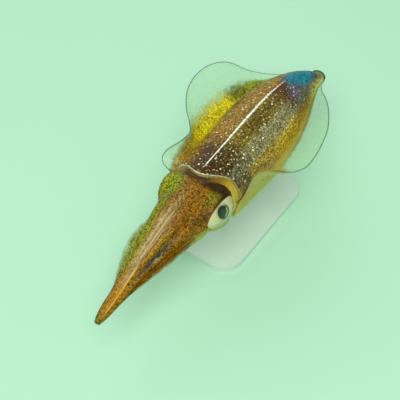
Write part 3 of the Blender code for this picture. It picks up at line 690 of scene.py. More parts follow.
def eye_mound_mesh(side):
    """The skin over the eyeball: proud of it, with a lip at the opening, and sunk below it inside."""
    mesh = sphere_mesh("mound", EYE_HALF_SIZE, MOUND_COLUMNS, MOUND_ROWS)
    half_length, upper, lower = EYE_OPENING[side]
    for vertex in mesh.vertices:
        half_height = upper if vertex.co.z > 0 else lower
        reach = math.hypot(vertex.co.x / half_length, vertex.co.z / half_height)
        if side * vertex.co.y < 0:
            reach = INNER_HALF
        lip = LID_LIFT * bell(reach, 1.04, 0.07)
        lift = LID_REST + lip - (LID_REST + lip + LID_SINK) * (1 - ease(0.93, 1.0, reach))
        vertex.co += vertex.co.normalized() * lift
    mesh.transform(Matrix.Translation(eye_middle(side)))
    return mesh


def crown_middle(share):
    """The middle of the arm crown from its root (0) to its tip (1). It droops a little."""
    head_middle = smooth(HEAD_SECTIONS, ARM_ROOT / MM, 3) * MM
    return Vector((ARM_ROOT - ARM_CROWN_LENGTH * share, 0, head_middle - ARM_DROOP * max(share, 0.0) ** 1.6))


def crown_ring(share):
    return smooth(CROWN_RADIUS, max(share, 0.0)) * RING_SHARE * MM


def arm_section(arm, side, share):
    """Middle, half width, half depth, sideways and outward directions of an arm at a share of the crown."""
    ring = crown_ring(share)
    around = math.radians(arm["around"])
    outward = Vector((0, side * math.sin(around), math.cos(around)))
    sideways = Vector((0, side * math.cos(around), -math.sin(around)))
    swelling = LONGEST_ARM_SWELLING * ease(0.76, 0.97, share) if arm["reach"] == 1.0 else 0.0
    tip = max(0.0, 1 - (max(share, 0.0) / arm["reach"]) ** 3.2) ** 0.62
    half_width = max(ring * (ARM_SHARE + swelling) * arm["thick"] * tip, 0.4 * MM)
    middle = crown_middle(share) + outward * (ring + (ring * ARM_SHARE - half_width) * 0.35)
    return middle, half_width, half_width * ARM_DEPTH_RATIO, sideways, outward


def crown_core_mesh():
    """The flesh between the arms, which draws their ends together into one blunt tip."""
    reach = (CORE_SHARES[0][0], CORE_SHARES[-1][0])

    def station(part):
        share = between(reach, part**0.8)
        radius = smooth(CROWN_RADIUS, share) * MM * smooth(CORE_SHARES, share)
        rounding = max(share - CORE_ROUNDING_START, 0.0) / CORE_ROUNDING
        radius *= math.sqrt(max(0.0, 1 - rounding**2))
        middle = crown_middle(share)

        def skin_at(around):
            return middle + Vector((0, math.sin(around), math.cos(around))) * radius

        return middle, skin_at

    return tube_mesh("crown core", CORE_COLUMNS, CORE_RINGS, station)


def arm_mesh(arm, side):
    """One arm, pressed against its neighbours, with a low crest along its outer side."""
    reach = (ARM_ROOT_SHARE, arm["reach"] - ARM_END_SHARE)

    def station(part):
        share = between(reach, part**0.92)
        middle, half_width, half_depth, sideways, outward = arm_section(arm, side, share)

        def skin_at(around):
            depth_share = power(math.cos(around), ARM_BOXINESS)
            width_share = power(math.sin(around), ARM_BOXINESS) * (1 + ARM_WEDGE * depth_share)
            flank = middle + sideways * (half_width + ARM_PRESS) * width_share
            return flank + outward * half_depth * depth_share

        ahead = half_width if part == 1 else 0.0
        return middle - Vector((ahead, 0, 0)), skin_at

    return tube_mesh("arm", ARM_COLUMNS, ARM_RINGS, station)


def tentacle_mesh(side):
    def station(part):
        share = between(TENTACLE_SHARES, part)
        radius = between(TENTACLE_RADII, part)
        middle = crown_middle(share) + Vector((0, side * (crown_ring(share) * 0.17 + TENTACLE_SPREAD), 0))

        def skin_at(around):
            return middle + Vector((0, radius * 0.85 * math.sin(around), radius * math.cos(around)))

        return middle, skin_at

    return tube_mesh("tentacle", TENTACLE_COLUMNS, TENTACLE_RINGS, station)


def funnel_mesh():
    length = FUNNEL_REAR - FUNNEL_FRONT
    bore_end = FUNNEL_FRONT + FUNNEL_BORE_DEPTH
    lip = FUNNEL_WALL / 2
    rings = [(FUNNEL_REAR, 0.0, 0.0), (FUNNEL_REAR, 0.0, 1.0)]
    rings += [(FUNNEL_REAR - length * i / FUNNEL_RINGS, 0.0, 1.0) for i in range(1, FUNNEL_RINGS + 1)]
    rings += [(FUNNEL_FRONT - 0.6 * lip, lip * 0.3, 1.0), (FUNNEL_FRONT - lip, lip, 1.0)]
    rings += [(FUNNEL_FRONT - 0.6 * lip, lip * 1.7, 1.0), (FUNNEL_FRONT, FUNNEL_WALL, 1.0)]
    rings += [(bore_end, FUNNEL_WALL, 1.0), (bore_end, FUNNEL_WALL, 0.0)]
    count = len(rings) - 1

    def place(along, round_share):
        around = math.tau * round_share
        x, thinner, share = rings[round(along * count)]
        reach = (FUNNEL_REAR - max(x, FUNNEL_FRONT)) / length
        narrowing = ease(0, 1, reach)
        half_width = between(FUNNEL_HALF_WIDTHS, narrowing)
        half_height = between(FUNNEL_HALF_HEIGHTS, narrowing)
        half_height += FUNNEL_SWELLING * math.sin(math.pi * reach)
        middle = between(FUNNEL_HEIGHTS, narrowing)
        # The open end is cut at a slant: its lower lip lies behind the upper one
        slant = FUNNEL_SLANT * ease(0.35, 1, reach)
        return Vector(
            (
                x + slant * share * (1 - math.cos(around)) / 2,
                (half_width - thinner) * share * math.sin(around),
                middle + (half_height - thinner) * share * math.cos(around),
            )
        )

    return grid_mesh("funnel", FUNNEL_COLUMNS, count, place)


def skin_lie(point):
    """What the skin's material reads at a point of the squid's own frame.

    The first vector is the sine and cosine of the angle round the body, and 1 on the mantle or 0 on the head
    and arms. The second is the distance behind the mantle's rim in mm, 1 on the outer skin or 0 inside the
    rim, and 1 on the collar.
    """
    x = point.x
    half_width, half_height, middle, bend = mantle_section(min(max(x, 0.0), MANTLE_END - 0.5 * MM))
    across, up = (point.y - bend) / half_width, (point.z - middle) / half_height
    reach = math.hypot(across, up)
    around = math.atan2(across, up)
    behind = x - rim_shift(around) * (1 - ease(0, RIM_FADE, x))
    if reach > 0.92 and behind > -1.5 * MM or x > RECESS_DEPTH + 1 * MM:
        outer = ease(0.962, 0.98, reach) if x < RECESS_DEPTH else 1.0
        return (math.sin(around), math.cos(around), 1.0), (behind / MM, outer, 0.0)
    if x > -12 * MM and behind > -COLLAR_AHEAD - 0.5 * MM:
        collar = ease(0.75, 0.80, reach)
        return (math.sin(around), math.cos(around), 0.0), (behind / MM, 1.0, collar)
    if x > ARM_ROOT:
        half_width, half_height, middle = head_section(x)
        around = math.atan2(point.y / half_width, (point.z - middle) / half_height)
    else:
        around = math.atan2(point.y, point.z - crown_middle((ARM_ROOT - x) / ARM_CROWN_LENGTH).z)
    return (math.sin(around), math.cos(around), 0.0), (behind / MM, 1.0, 0.0)


# Fins


def fin_root(side, x):
    """Where the fin's middle surface meets the mantle, sunk a little into it."""
    half_width, half_height, middle, bend = mantle_section(min(x, MANTLE_END - FIN_ROOT_SUNK / 3))
    half_width = max(half_width * math.sin(FIN_ROOT_AROUND) - FIN_ROOT_SUNK, 0.15 * MM)
    return Vector((x, bend + side * half_width, middle + half_height * math.cos(FIN_ROOT_AROUND)))


def fin_place(along):
    """The fin's place along the mantle, in mm, at a share of its length."""
    first, last = FIN_WIDTH[0][0], FIN_WIDTH[-1][0]
    return first + (last - first) * along**1.3


def fin_point(side_name, along, outward):
    """A point of the fin's middle surface: along the root, 0 to 1, and outward to its edge, 0 to 1."""
    side = SIDES[side_name]
    x = fin_place(along)
    width = smooth(FIN_WIDTH, x) * MM + FIN_ROOT_SUNK
    root_angle = smooth(FIN_ANGLE[side_name], x)
    point = fin_root(side, x * MM)
    for step in range(FIN_BEND_STEPS):
        share = (step + 0.5) / FIN_BEND_STEPS
        bend = math.radians(root_angle * (0.75 + 0.5 * share) + FIN_CURL * (0.5 - share))
        length = width * min(1 / FIN_BEND_STEPS, max(0.0, outward - step / FIN_BEND_STEPS))
        point = point + Vector((0, side * math.cos(bend), math.sin(bend))) * length
    point.x -= FIN_LOBE_SWEEP * MM * (1 - ease(FIN_WIDTH[0][0], FIN_LOBE_END, x)) * outward**1.5
    return point


def thickened(name, mesh, finish, thickness, shares):
    """A sheet with a thickness that is a share of the given one at each vertex."""
    piece = add_piece(name, mesh, finish)
    weights = piece.vertex_groups.new(name="thickness")
    for index, share in enumerate(shares):
        weights.add([index], share, "REPLACE")
    wall = piece.modifiers.new("thickness", "SOLIDIFY")
    wall.thickness = thickness
    wall.offset = 0
    wall.vertex_group = "thickness"
    apply_modifiers(piece)
    turn_faces_out(piece.data)
    return piece


def sheet_piece(name, columns, rows, place, told, finish, thickness):
    """A thin sheet. told gives the lie, margin, sheet and share of the thickness at a place on it."""
    mesh = grid_mesh(name, columns, rows, place, closed=False)
    values = []
    for vertex in mesh.vertices:
        row, column = divmod(vertex.index, columns + 1)
        values.append(told(row / rows, column / columns))
    lies, margins, sheets, shares = zip(*values)
    store(mesh, "lie", lies)
    store(mesh, "margin", margins)
    store(mesh, "sheet", sheets)
    piece = thickened(name, mesh, finish, thickness, shares)
    into_place(piece)
    return piece


def lie_at(side, degrees, mantle):
    """The lie that skin_lie gives at an angle from the back's midline, on one side."""
    around = side * math.radians(degrees)
    return math.sin(around), math.cos(around), mantle


def fin_piece(side_name, finish):
    def place(along, outward):
        return fin_point(side_name, along, outward)

    def told(along, outward):
        x = fin_place(along)
        width = smooth(FIN_WIDTH, x)
        line = ease(*FIN_LINE_START[side_name], x)
        covered = outward * width / smooth(FIN_FRINGE[side_name], x)
        turn = FIN_MARKING_TURN + FIN_MARKING_SPREAD * min(1.0, covered)
        margin = (covered, width * (1 - outward), line)
        share = 1 - (1 - FIN_EDGE_SHARE) * outward**0.6
        return lie_at(SIDES[side_name], turn, 1.0), margin, (x, outward * width, 0.0), share

    name = f"fin_{side_name}_sheet"
    return sheet_piece(name, FIN_COLUMNS, FIN_ROWS, place, told, finish, FIN_ROOT_THICKNESS)


def keel_piece(side_name, finish):
    """The swimming keel: a thin flange along the outer side of the lateral arm."""
    side = SIDES[side_name]
    arm = ARMS["lateral"]
    direction = Vector((0, side * math.cos(KEEL_LIFT[side]), math.sin(KEEL_LIFT[side])))

    def width_at(along):
        return arm["keel"] * math.sin(math.pi * along**0.9) ** 1.1 + KEEL_EDGE

    def place(along, outward):
        middle, half_width, _, _, _ = arm_section(arm, side, 0.02 + 0.72 * along)
        return middle + direction * (half_width * 0.45 + (half_width * 0.5 + width_at(along)) * outward)

    def told(along, outward):
        width = width_at(along) / MM
        turn = KEEL_MARKING_TURN[side] + KEEL_MARKING_SPREAD * outward
        margin = (0.2 + outward * 0.8, 2.6 + width * (1 - outward) * 1.6, 0.0)
        sheet = (KEEL_LENGTH * along, outward * width, 0.0)
        return lie_at(side, turn, 0.0), margin, sheet, 1 - 0.5 * outward

    name = f"arm_keel_{side_name}"
    return sheet_piece(name, KEEL_COLUMNS, KEEL_ROWS, place, told, finish, KEEL_THICKNESS)


def tail_fold_mesh():
    """The curled flap where the two fins run together at the tip of the tail."""
    middle = Vector((MANTLE_END - 1.3 * MM, mantle_section(MANTLE_END)[3], 0.5 * MM))
    tilt = Matrix.Rotation(TAIL_FOLD_TILT, 3, "Y")

    def place(along, round_share):
        down, around = math.pi * along, math.tau * round_share
        reach = math.sin(down)
        point = Vector(
            (
                TAIL_FOLD_HALF_SIZE.x * reach * math.cos(around),
                TAIL_FOLD_HALF_SIZE.y * reach * math.sin(around),
                TAIL_FOLD_HALF_SIZE.z * math.cos(down) + TAIL_FOLD_CURL * (reach**2 - 0.5),
            )
        )
        return middle + tilt @ point

    mesh = grid_mesh("tail_fold", TAIL_FOLD_COLUMNS, TAIL_FOLD_ROWS, place)
    tilt_back = Matrix.Rotation(-TAIL_FOLD_TILT, 3, "Y")
    centre = sum((vertex.co for vertex in mesh.vertices), Vector()) / len(mesh.vertices)
    margins = []
    for vertex in mesh.vertices:
        flat = tilt_back @ (vertex.co - centre)
        rearward = flat.x / TAIL_FOLD_HALF_SIZE.x
        margins.append((math.hypot(rearward, flat.y / TAIL_FOLD_HALF_SIZE.y), rearward, 0.0))
    store(mesh, "margin", margins)
    return mesh


# Eyes and suckers


def eyeball_mesh(side_name):
    """The eyeball, dished a little at the pupil."""
    side = SIDES[side_name]
    mesh = sphere_mesh(f"eye_{side_name}_ball", EYE_HALF_SIZE, EYEBALL_COLUMNS, EYEBALL_ROWS)
    across = Matrix.Rotation(PUPIL_TILT, 3, "Y")
    margins = []
    for vertex in mesh.vertices:
        flat = across @ Vector((vertex.co.x - PUPIL_PLACE[side][0], 0, vertex.co.z - PUPIL_PLACE[side][1]))
        reach = math.hypot(flat.x / PUPIL_HALF_SIZE[0], flat.z / PUPIL_HALF_SIZE[1])
        if side * vertex.co.y < 0:
            reach = INNER_HALF
        margins.append((reach, flat.x / MM, flat.z / MM))
        furrow = PUPIL_FURROW * bell(reach, 1.25, 0.25)
        dish = PUPIL_DISH * (1 - ease(0.75, 1.15, reach)) - furrow
        vertex.co.y -= side * dish
    store(mesh, "margin", margins)
    mesh.transform(Matrix.Translation(eye_middle(side) + SQUID_AT))
    return mesh


def sucker_shape():
    """A cup on a short foot, one unit in radius, open towards +Z."""
    shape = bmesh.new()
    corners = [shape.verts.new((across, 0, up)) for across, up in SUCKER_OUTLINE]
    edges = [shape.edges.new(pair) for pair in zip(corners, corners[1:])]
    bmesh.ops.spin(
        shape,
        geom=corners + edges,
        cent=(0, 0, 0),
        axis=(0, 0, 1),
        angle=math.tau,
        steps=SUCKER_SIDES,
        use_merge=True,
        use_duplicate=False,
    )
    bmesh.ops.remove_doubles(shape, verts=shape.verts, dist=1e-5)
    bmesh.ops.recalc_face_normals(shape, faces=shape.faces)
    return finished_mesh("sucker", shape)


def suckers_mesh():
    """Two rows of suckers along the inner face of every arm, smaller towards its tip."""
    cup = sucker_shape()
    rows = bmesh.new()
    for side in SIDES.values():
        for arm in ARMS.values():
            for pair in range(SUCKER_PAIRS):
                for row in (-1, 1):
                    part = (pair + 0.3 + 0.25 * row) / SUCKER_PAIRS
                    share = 0.08 + (arm["reach"] - 0.1) * part**0.9
                    middle, half_width, half_depth, sideways, outward = arm_section(arm, side, share)
                    radius = max(SUCKER_RADIUS_SHARE * half_width, SMALLEST_SUCKER)
                    seat = middle - outward * half_depth * 0.93 + sideways * half_width * 0.42 * row
                    turn = Vector((0, 0, 1)).rotation_difference(-outward).to_matrix().to_4x4()
                    one = cup.copy()
                    size = Matrix.Diagonal((radius, radius, radius, 1))
                    one.transform(Matrix.Translation(seat) @ turn @ size)
                    rows.from_mesh(one)
                    bpy.data.meshes.remove(one)
    bpy.data.meshes.remove(cup)
    mesh = finished_mesh("arm_suckers", rows)
    mesh.transform(Matrix.Translation(SQUID_AT))
    return mesh


# Building materials


class Graph:
    """Adds nodes to a tree. Most methods return the new node's output socket."""

    def __init__(self, tree):
        self.tree = tree

    def add(self, kind, **settings):
        node = self.tree.nodes.new(kind)
        for name, value in settings.items():
            setattr(node, name, value)
        return node

    def plug(self, socket, value):
        if isinstance(value, bpy.types.NodeSocket):
            self.tree.links.new(value, socket)
        elif value is not None:
            if socket.type == "RGBA" and len(value) == 3:
                value = (*value, 1.0)
            socket.default_value = value

    def maths(self, operation, *values, clamp=False):
        node = self.add("ShaderNodeMath", operation=operation, use_clamp=clamp)
        for socket, value in zip(node.inputs, values):
            self.plug(socket, value)
        return node.outputs[0]

    def times(self, first, second):
        return self.maths("MULTIPLY", first, second)

    def plus(self, first, second):
        return self.maths("ADD", first, second)

    def minus(self, first, second):
        return self.maths("SUBTRACT", first, second)

    def larger(self, first, second):
        return self.maths("MAXIMUM", first, second)

    def scaled(self, value, factor, shift):
        return self.maths("MULTIPLY_ADD", value, factor, shift)

    def vector(self, operation, first, second=None):
        node = self.add("ShaderNodeVectorMath", operation=operation)
        self.plug(node.inputs[0], first)
        self.plug(node.inputs[1], second)
        return node.outputs[0]

    def combine(self, x, y, z=0.0):
        node = self.add("ShaderNodeCombineXYZ")
        for socket, value in zip(node.inputs, (x, y, z)):
            self.plug(socket, value)
        return node.outputs[0]

    def separate(self, value):
        node = self.add("ShaderNodeSeparateXYZ")
        self.plug(node.inputs[0], value)
        return node.outputs

    def mix(self, share, below, above, blend="MIX"):
        node = self.add("ShaderNodeMix", data_type="RGBA", blend_type=blend)
        self.plug(node.inputs[0], share)
        self.plug(node.inputs[6], below)
        self.plug(node.inputs[7], above)
        return node.outputs[2]

    def step(self, value, low, high, start=0.0, end=1.0):
        """start below low, end above high and smooth between."""
        node = self.add("ShaderNodeMapRange", interpolation_type="SMOOTHSTEP")
        for socket, given in zip(node.inputs, (value, low, high, start, end)):
            self.plug(socket, given)
        return node.outputs[0]

    def noise(self, place, scale, detail=2.0, roughness=0.5):
        node = self.add("ShaderNodeTexNoise")
        self.plug(node.inputs["Vector"], place)
        self.plug(node.inputs["Scale"], scale)
        self.plug(node.inputs["Detail"], detail)
        self.plug(node.inputs["Roughness"], roughness)
        return node.outputs[0]

    def cells(self, place, spacing):
        """Uneven cells, each with a distance from its middle and a chance of its own."""
        node = self.add("ShaderNodeTexVoronoi")
        self.plug(node.inputs["Vector"], place)
        self.plug(node.inputs["Scale"], self.maths("DIVIDE", 1.0, spacing))
        return node.outputs["Distance"], self.separate(node.outputs["Color"])

    def ramp(self, value, stops):
        """Colours along a value: stops are (place from 0 to 1, linear colour)."""
        node = self.add("ShaderNodeValToRGB")
        self.plug(node.inputs[0], value)
        elements = node.color_ramp.elements
        while len(elements) < len(stops):
            elements.new(0.5)
        for element, (place, colour) in zip(elements, sorted(stops)):
            element.position = place
            element.color = (*colour, 1.0)
        return node.outputs[0]

    def group(self, name, **values):
        """A group node; its inputs are given by name, with _ for a space."""
        node = self.add("ShaderNodeGroup", node_tree=bpy.data.node_groups[name])
        for key, value in values.items():
            self.plug(node.inputs[key.replace("_", " ")], value)
        return node.outputs

    def place(self):
        return self.add("ShaderNodeTexCoord").outputs["Object"]

    def attribute(self, name):
        return self.add("ShaderNodeAttribute", attribute_name=name).outputs["Vector"]


def new_group(name, inputs, outputs):
    """An empty node group with named sockets. Returns its graph, its inputs and its output node."""
    tree = bpy.data.node_groups.new(name, "ShaderNodeTree")
    kinds = {"float": "NodeSocketFloat", "vector": "NodeSocketVector", "colour": "NodeSocketColor"}
    for label, kind in inputs:
        tree.interface.new_socket(name=label, in_out="INPUT", socket_type=kinds[kind])
    for label, kind in outputs:
        tree.interface.new_socket(name=label, in_out="OUTPUT", socket_type=kinds[kind])
    graph = Graph(tree)
    return graph, graph.add("NodeGroupInput").outputs, graph.add("NodeGroupOutput")


def dots_group():
    """Round spots of uneven size, such as colour cells and bright flecks."""
    graph, given, result = new_group(
        "Skin dots",
        (
            ("Place", "vector"),
            ("Spacing", "float"),
            ("Size", "float"),
            ("Kept", "float"),
            ("Softness", "float"),
        ),
        (("Mask", "float"), ("Chance", "float")),
    )
    distance, chance = graph.cells(given["Place"], given["Spacing"])
    radius = graph.times(given["Size"], graph.scaled(chance[0], 0.8, 0.6))
    inner = graph.times(radius, graph.minus(1.0, given["Softness"]))
    outer = graph.times(radius, graph.plus(1.0, given["Softness"]))
    mask = graph.step(distance, inner, outer, 1.0, 0.0)
    kept = graph.maths("LESS_THAN", chance[1], given["Kept"])
    graph.plug(result.inputs["Mask"], graph.times(mask, kept))
    graph.plug(result.inputs["Chance"], chance[2])


def patch_group():
    """A soft oval mask at a place on the skin."""
    sockets = (
        ("Along", "float"), ("Turn", "float"), ("Middle Along", "float"), ("Middle Turn", "float"),
        ("Half Length", "float"), ("Half Turn", "float"), ("Softness", "float"), ("Strength", "float"),
    )
    graph, given, result = new_group("Skin patch", sockets, (("Mask", "float"),))
    across = graph.maths("DIVIDE", graph.minus(given["Along"], given["Middle Along"]), given["Half Length"])
    around = graph.maths("DIVIDE", graph.minus(given["Turn"], given["Middle Turn"]), given["Half Turn"])
    squares = graph.plus(graph.times(across, across), graph.times(around, around))
    reach = graph.maths("SQRT", squares)
    low = graph.minus(1.0, given["Softness"])
    high = graph.plus(1.0, given["Softness"])
    graph.plug(result.inputs["Mask"], graph.step(reach, low, high, given["Strength"], 0.0))


def grain_group():
    """Fine mottling: every tiny cell of the skin is a little lighter or darker than its neighbours."""
    graph, given, result = new_group(
        "Skin grain",
        (("Color", "colour"), ("Place", "vector"), ("Spacing", "float"), ("Amount", "float")),
        (("Color", "colour"),),
    )
    _, chance = graph.cells(given["Place"], given["Spacing"])
    factor = graph.scaled(graph.minus(chance[0], 0.45), given["Amount"], 1.0)
    scale = graph.add("ShaderNodeVectorMath", operation="SCALE")
    graph.plug(scale.inputs[0], given["Color"])
    graph.plug(scale.inputs["Scale"], factor)
    graph.plug(result.inputs["Color"], scale.outputs[0])


def relief_group():
    """Height of fine folds and grain on wet skin."""
    graph, given, result = new_group(
        "Skin relief",
        (("Place", "vector"), ("Fold Size", "float")),
        (("Height", "float"), ("Shine", "float")),
    )
    folds = graph.noise(given["Place"], graph.maths("DIVIDE", 1.0, given["Fold Size"]), 3.0, 0.55)
    grain = graph.noise(given["Place"], 1600.0, 2.0, 0.6)
    height = graph.plus(graph.times(folds, 0.7), graph.times(grain, 0.3))
    graph.plug(result.inputs["Height"], height)
    graph.plug(result.inputs["Shine"], graph.step(folds, 0.3, 0.7, 0.36, 0.52))


def spots(graph, place, kind):
    """The mask of one kind of spot, and the chance of each."""
    names = ("Spacing", "Size", "Kept", "Softness")
    made = graph.group("Skin dots", Place=place, **dict(zip(names, SPOTS[kind])))
    return made["Mask"], made["Chance"]


def patch(graph, along, turn, *shape):
    """The mask of one oval patch: its middle, half sizes, softness and strength."""
    names = ("Middle_Along", "Middle_Turn", "Half_Length", "Half_Turn", "Softness", "Strength")
    return graph.group("Skin patch", Along=along, Turn=turn, **dict(zip(names, shape)))["Mask"]


def painted(graph, colour, along, turn, patches):
    """The colour with soft patches laid over it."""
    for *shape, name, strength in patches:
        colour = graph.mix(patch(graph, along, turn, *shape, strength), colour, COLOURS[name])
    return colour


def bands(graph, turn, stops):
    """Colours round the body by the angle from the back's midline."""
    share = graph.scaled(turn, 1 / 360, 0.5)
    return graph.ramp(share, [(0.5 + angle / 360, COLOURS[name]) for angle, name in stops])


def wandering(graph, place, value, amount, scale):
    """The value with a slow, uneven shift, so that no border is straight."""
    shift = graph.scaled(graph.noise(place, scale, 3.0, 0.6), 2 * amount, -amount)
    return graph.plus(value, shift)


def dark_cells(graph, place, colour, large_kind, share):
    """Fine mottling and two sizes of dark colour cells laid over a colour."""
    grain = graph.group("Skin grain", Color=colour, Place=place, Spacing=GRAIN_SPACING, Amount=1.2)
    small, _ = spots(graph, place, "small cells")
    large, _ = spots(graph, place, large_kind)
    cells = graph.times(graph.larger(graph.times(small, 0.8), large), share)
    return graph.mix(cells, grain["Color"], COLOURS["umber"])


def window(graph, value, reach):
    """1 between the two inner limits of a reach, 0 beyond the outer ones and smooth between."""
    rise = graph.step(value, *reach[:2])
    return graph.times(rise, graph.step(value, *reach[2:], 1.0, 0.0))


def mantle_ground(graph, place, along, turn):
    """The mantle's bands, patches and dark colour cells."""
    front, middle, rear = (bands(graph, turn, MANTLE_BANDS[name]) for name in ("front", "middle", "rear"))
    colour = graph.mix(graph.step(along, *MANTLE_STATIONS[0]), front, middle)
    colour = graph.mix(graph.step(along, *MANTLE_STATIONS[1]), colour, rear)
    colour = painted(graph, colour, along, turn, MANTLE_PATCHES)
    cloud = graph.noise(place, 130.0, 3.0, 0.65)
    spotted = window(graph, turn, REACHES["spotted back"])
    clouded = graph.times(graph.step(cloud, 0.5, 0.7, 0.0, 0.4), spotted)
    plain = graph.mix(clouded, colour, COLOURS["umber"])
    share = graph.scaled(spotted, 0.6, 0.14)
    share = graph.times(share, graph.step(turn, 50.0, 64.0, 1.0, 0.6))
    colour = dark_cells(graph, place, plain, "large cells", share)
    return graph.mix(graph.scaled(spotted, 0.7, 0.3), plain, colour)


def mantle_glints(graph, place, along, turn, colour):
    """Gold and silver flecks, the white ones over the back and the pale dashes at the left fin's root."""
    gold, _ = spots(graph, place, "gold flecks")
    gold = graph.times(gold, window(graph, turn, REACHES["gold flecks"]))
    gold = graph.times(gold, graph.step(along, 84.0, 112.0, 1.0, 0.0))
    colour = graph.mix(graph.times(gold, 0.35), colour, COLOURS["gold fleck"])

    silver, _ = spots(graph, place, "silver flecks")
    silver = graph.times(silver, patch(graph, along, turn, *SILVER_SHEEN))
    silver = graph.times(silver, graph.step(along, 6.0, 60.0, 0.45, 0.7))
    colour = graph.mix(silver, colour, COLOURS["silver fleck"])

    white, chance = spots(graph, place, "white flecks")
    white = graph.times(white, graph.step(chance, 0.0, 1.0, 0.4, 1.0))
    motes, _ = spots(graph, place, "motes")
    white = graph.larger(white, graph.times(motes, 0.75))
    back = window(graph, turn, REACHES["white flecks"])
    back = graph.times(back, graph.step(along, 104.0, 116.0, 1.0, 0.0))
    colour = graph.mix(graph.times(white, back), colour, COLOURS["white fleck"])

    root = window(graph, turn, REACHES["dashes round"])
    root = graph.times(root, window(graph, along, REACHES["dashes along"]))
    slant = graph.combine(
        graph.times(graph.plus(along, graph.times(turn, 0.3)), 0.42),
        graph.times(turn, 0.5),
    )
    dashes, _ = spots(graph, slant, "dashes")
    return graph.mix(graph.times(dashes, root), colour, COLOURS["straw dash"])


def pen_line(graph, place, along, turn, colour):
    """The beaded pale line along the back, over the pen."""
    beads = graph.noise(graph.combine(graph.times(along, 0.55), 0.0), 1.0, 3.0, 0.8)
    wobble = graph.scaled(graph.noise(place, 90.0, 2.0, 0.5), 1.6, PEN_TURN - 0.8)
    distance = graph.maths("ABSOLUTE", graph.minus(turn, wobble))
    swell = graph.step(along, 4.0, 60.0, 1.7, 3.1)
    swell = graph.times(swell, graph.step(along, 84.0, 112.0, 1.0, 0.7))
    width = graph.times(graph.step(beads, 0.35, 0.62, 0.45, 1.0), swell)
    line = graph.step(distance, graph.times(width, 0.4), width, 1.0, 0.0)
    line = graph.times(line, window(graph, along, REACHES["pen line"]))
    line = graph.times(line, graph.step(beads, 0.36, 0.52, 0.3, 1.0))
    tint = graph.mix(graph.step(along, 70.0, 108.0), COLOURS["pen white"], COLOURS["pen pink"])
    return graph.mix(line, colour, tint)


def pattern_group(name):
    """A group that puts out a colour for a place on the skin, and what is given to it."""
    graph, given, result = new_group(
        name,
        (("Place", "vector"), ("Along", "float"), ("Turn", "float")),
        (("Color", "colour"),),
    )
    return graph, result, given["Place"], given["Along"], given["Turn"]


def mantle_pattern_group():
    """The mantle's markings: bands, patches, colour cells, bright flecks and the line over the pen."""
    graph, result, place, along, turn = pattern_group("Mantle markings")
    moved_along = wandering(graph, place, along, 5.0, 60.0)
    moved_turn = wandering(graph, graph.vector("ADD", place, (3.1, 1.7, 0.4)), turn, 8.0, 70.0)
    colour = mantle_ground(graph, place, moved_along, moved_turn)
    colour = mantle_glints(graph, place, along, turn, colour)
    graph.plug(result.inputs["Color"], pen_line(graph, place, along, turn, colour))


def arm_threads(graph, along, turn, colour):
    """Fine pale threads and brighter streaks along the arms."""
    across = graph.combine(graph.times(along, 0.025), graph.times(turn, 0.3))
    threads = graph.step(graph.noise(across, 1.0, 2.0, 0.5), 0.52, 0.62)
    threads = graph.times(threads, window(graph, turn, REACHES["threads round"]))
    threads = graph.times(threads, window(graph, along, REACHES["threads along"]))
    colour = graph.mix(graph.times(threads, 0.42), colour, COLOURS["pink cream"])
    for low, high, start, slope, width, strength, tint in ARM_STREAKS:
        distance = graph.maths("ABSOLUTE", graph.minus(turn, graph.scaled(along, slope, start)))
        streak = graph.step(distance, width * 0.35, width, strength, 0.0)
        reach = (low - STREAK_END, low + STREAK_END, high - STREAK_END, high + STREAK_END)
        ends = window(graph, along, reach)
        colour = graph.mix(graph.times(streak, ends), colour, tint)
    return colour


def head_pattern_group():
    """The markings of the head and the arms."""
    graph, result, place, along, turn = pattern_group("Head and arm markings")
    moved_along = wandering(graph, place, along, 4.0, 80.0)
    moved_turn = wandering(graph, graph.vector("ADD", place, (1.3, 2.9, 0.7)), turn, 7.0, 90.0)
    colour = painted(graph, COLOURS["orange"], moved_along, moved_turn, HEAD_PATCHES + ARM_PATCHES)
    cloud = graph.noise(place, 160.0, 4.0, 0.7)
    plain = graph.mix(graph.step(cloud, 0.5, 0.72, 0.0, 0.4), colour, COLOURS["umber"])
    size = graph.maths("ABSOLUTE", turn)
    smoother = window(graph, moved_turn, REACHES["smooth skin round"])
    smoother = graph.times(smoother, window(graph, moved_along, REACHES["smooth skin along"]))
    share = graph.step(size, 84.0, 112.0, 0.78, 0.2)
    share = graph.times(share, graph.scaled(smoother, -0.75, 1.0))
    share = graph.times(share, graph.step(moved_along, -124.0, -98.0, 0.55, 1.0))
    colour = dark_cells(graph, place, plain, "large head cells", share)
    colour = graph.mix(graph.step(size, 84.0, 120.0, 1.0, 0.5), plain, colour)
    graph.plug(result.inputs["Color"], arm_threads(graph, along, turn, colour))


def lie_of(graph):
    """Place, distance along the body in mm, degrees round it, and whether it is the mantle."""
    place = graph.place()
    along = graph.times(graph.minus(graph.separate(place)[0], SQUID_AT.x), 1000.0)
    across, up, mantle = graph.separate(graph.attribute("lie"))
    turn = graph.times(graph.maths("ARCTAN2", across, up), 180 / math.pi)
    return place, along, turn, mantle


def new_material(name, roughness=0.4, coat=0.0, coat_roughness=0.1, specular=0.5):
    """A material with an empty graph and its Principled shader."""
    finish = bpy.data.materials.new(name)
    finish.use_nodes = True
    shader = finish.node_tree.nodes["Principled BSDF"]
    shader.inputs["Roughness"].default_value = roughness
    shader.inputs["Coat Weight"].default_value = coat
    shader.inputs["Coat Roughness"].default_value = coat_roughness
    shader.inputs["Specular IOR Level"].default_value = specular
    return finish, Graph(finish.node_tree), shader


def add_bump(graph, shader, height, distance, strength=1.0):
    bump = graph.add("ShaderNodeBump")
    bump.inputs["Distance"].default_value = distance
    bump.inputs["Strength"].default_value = strength
    graph.plug(bump.inputs["Height"], height)
    graph.plug(shader.inputs["Normal"], bump.outputs[0])


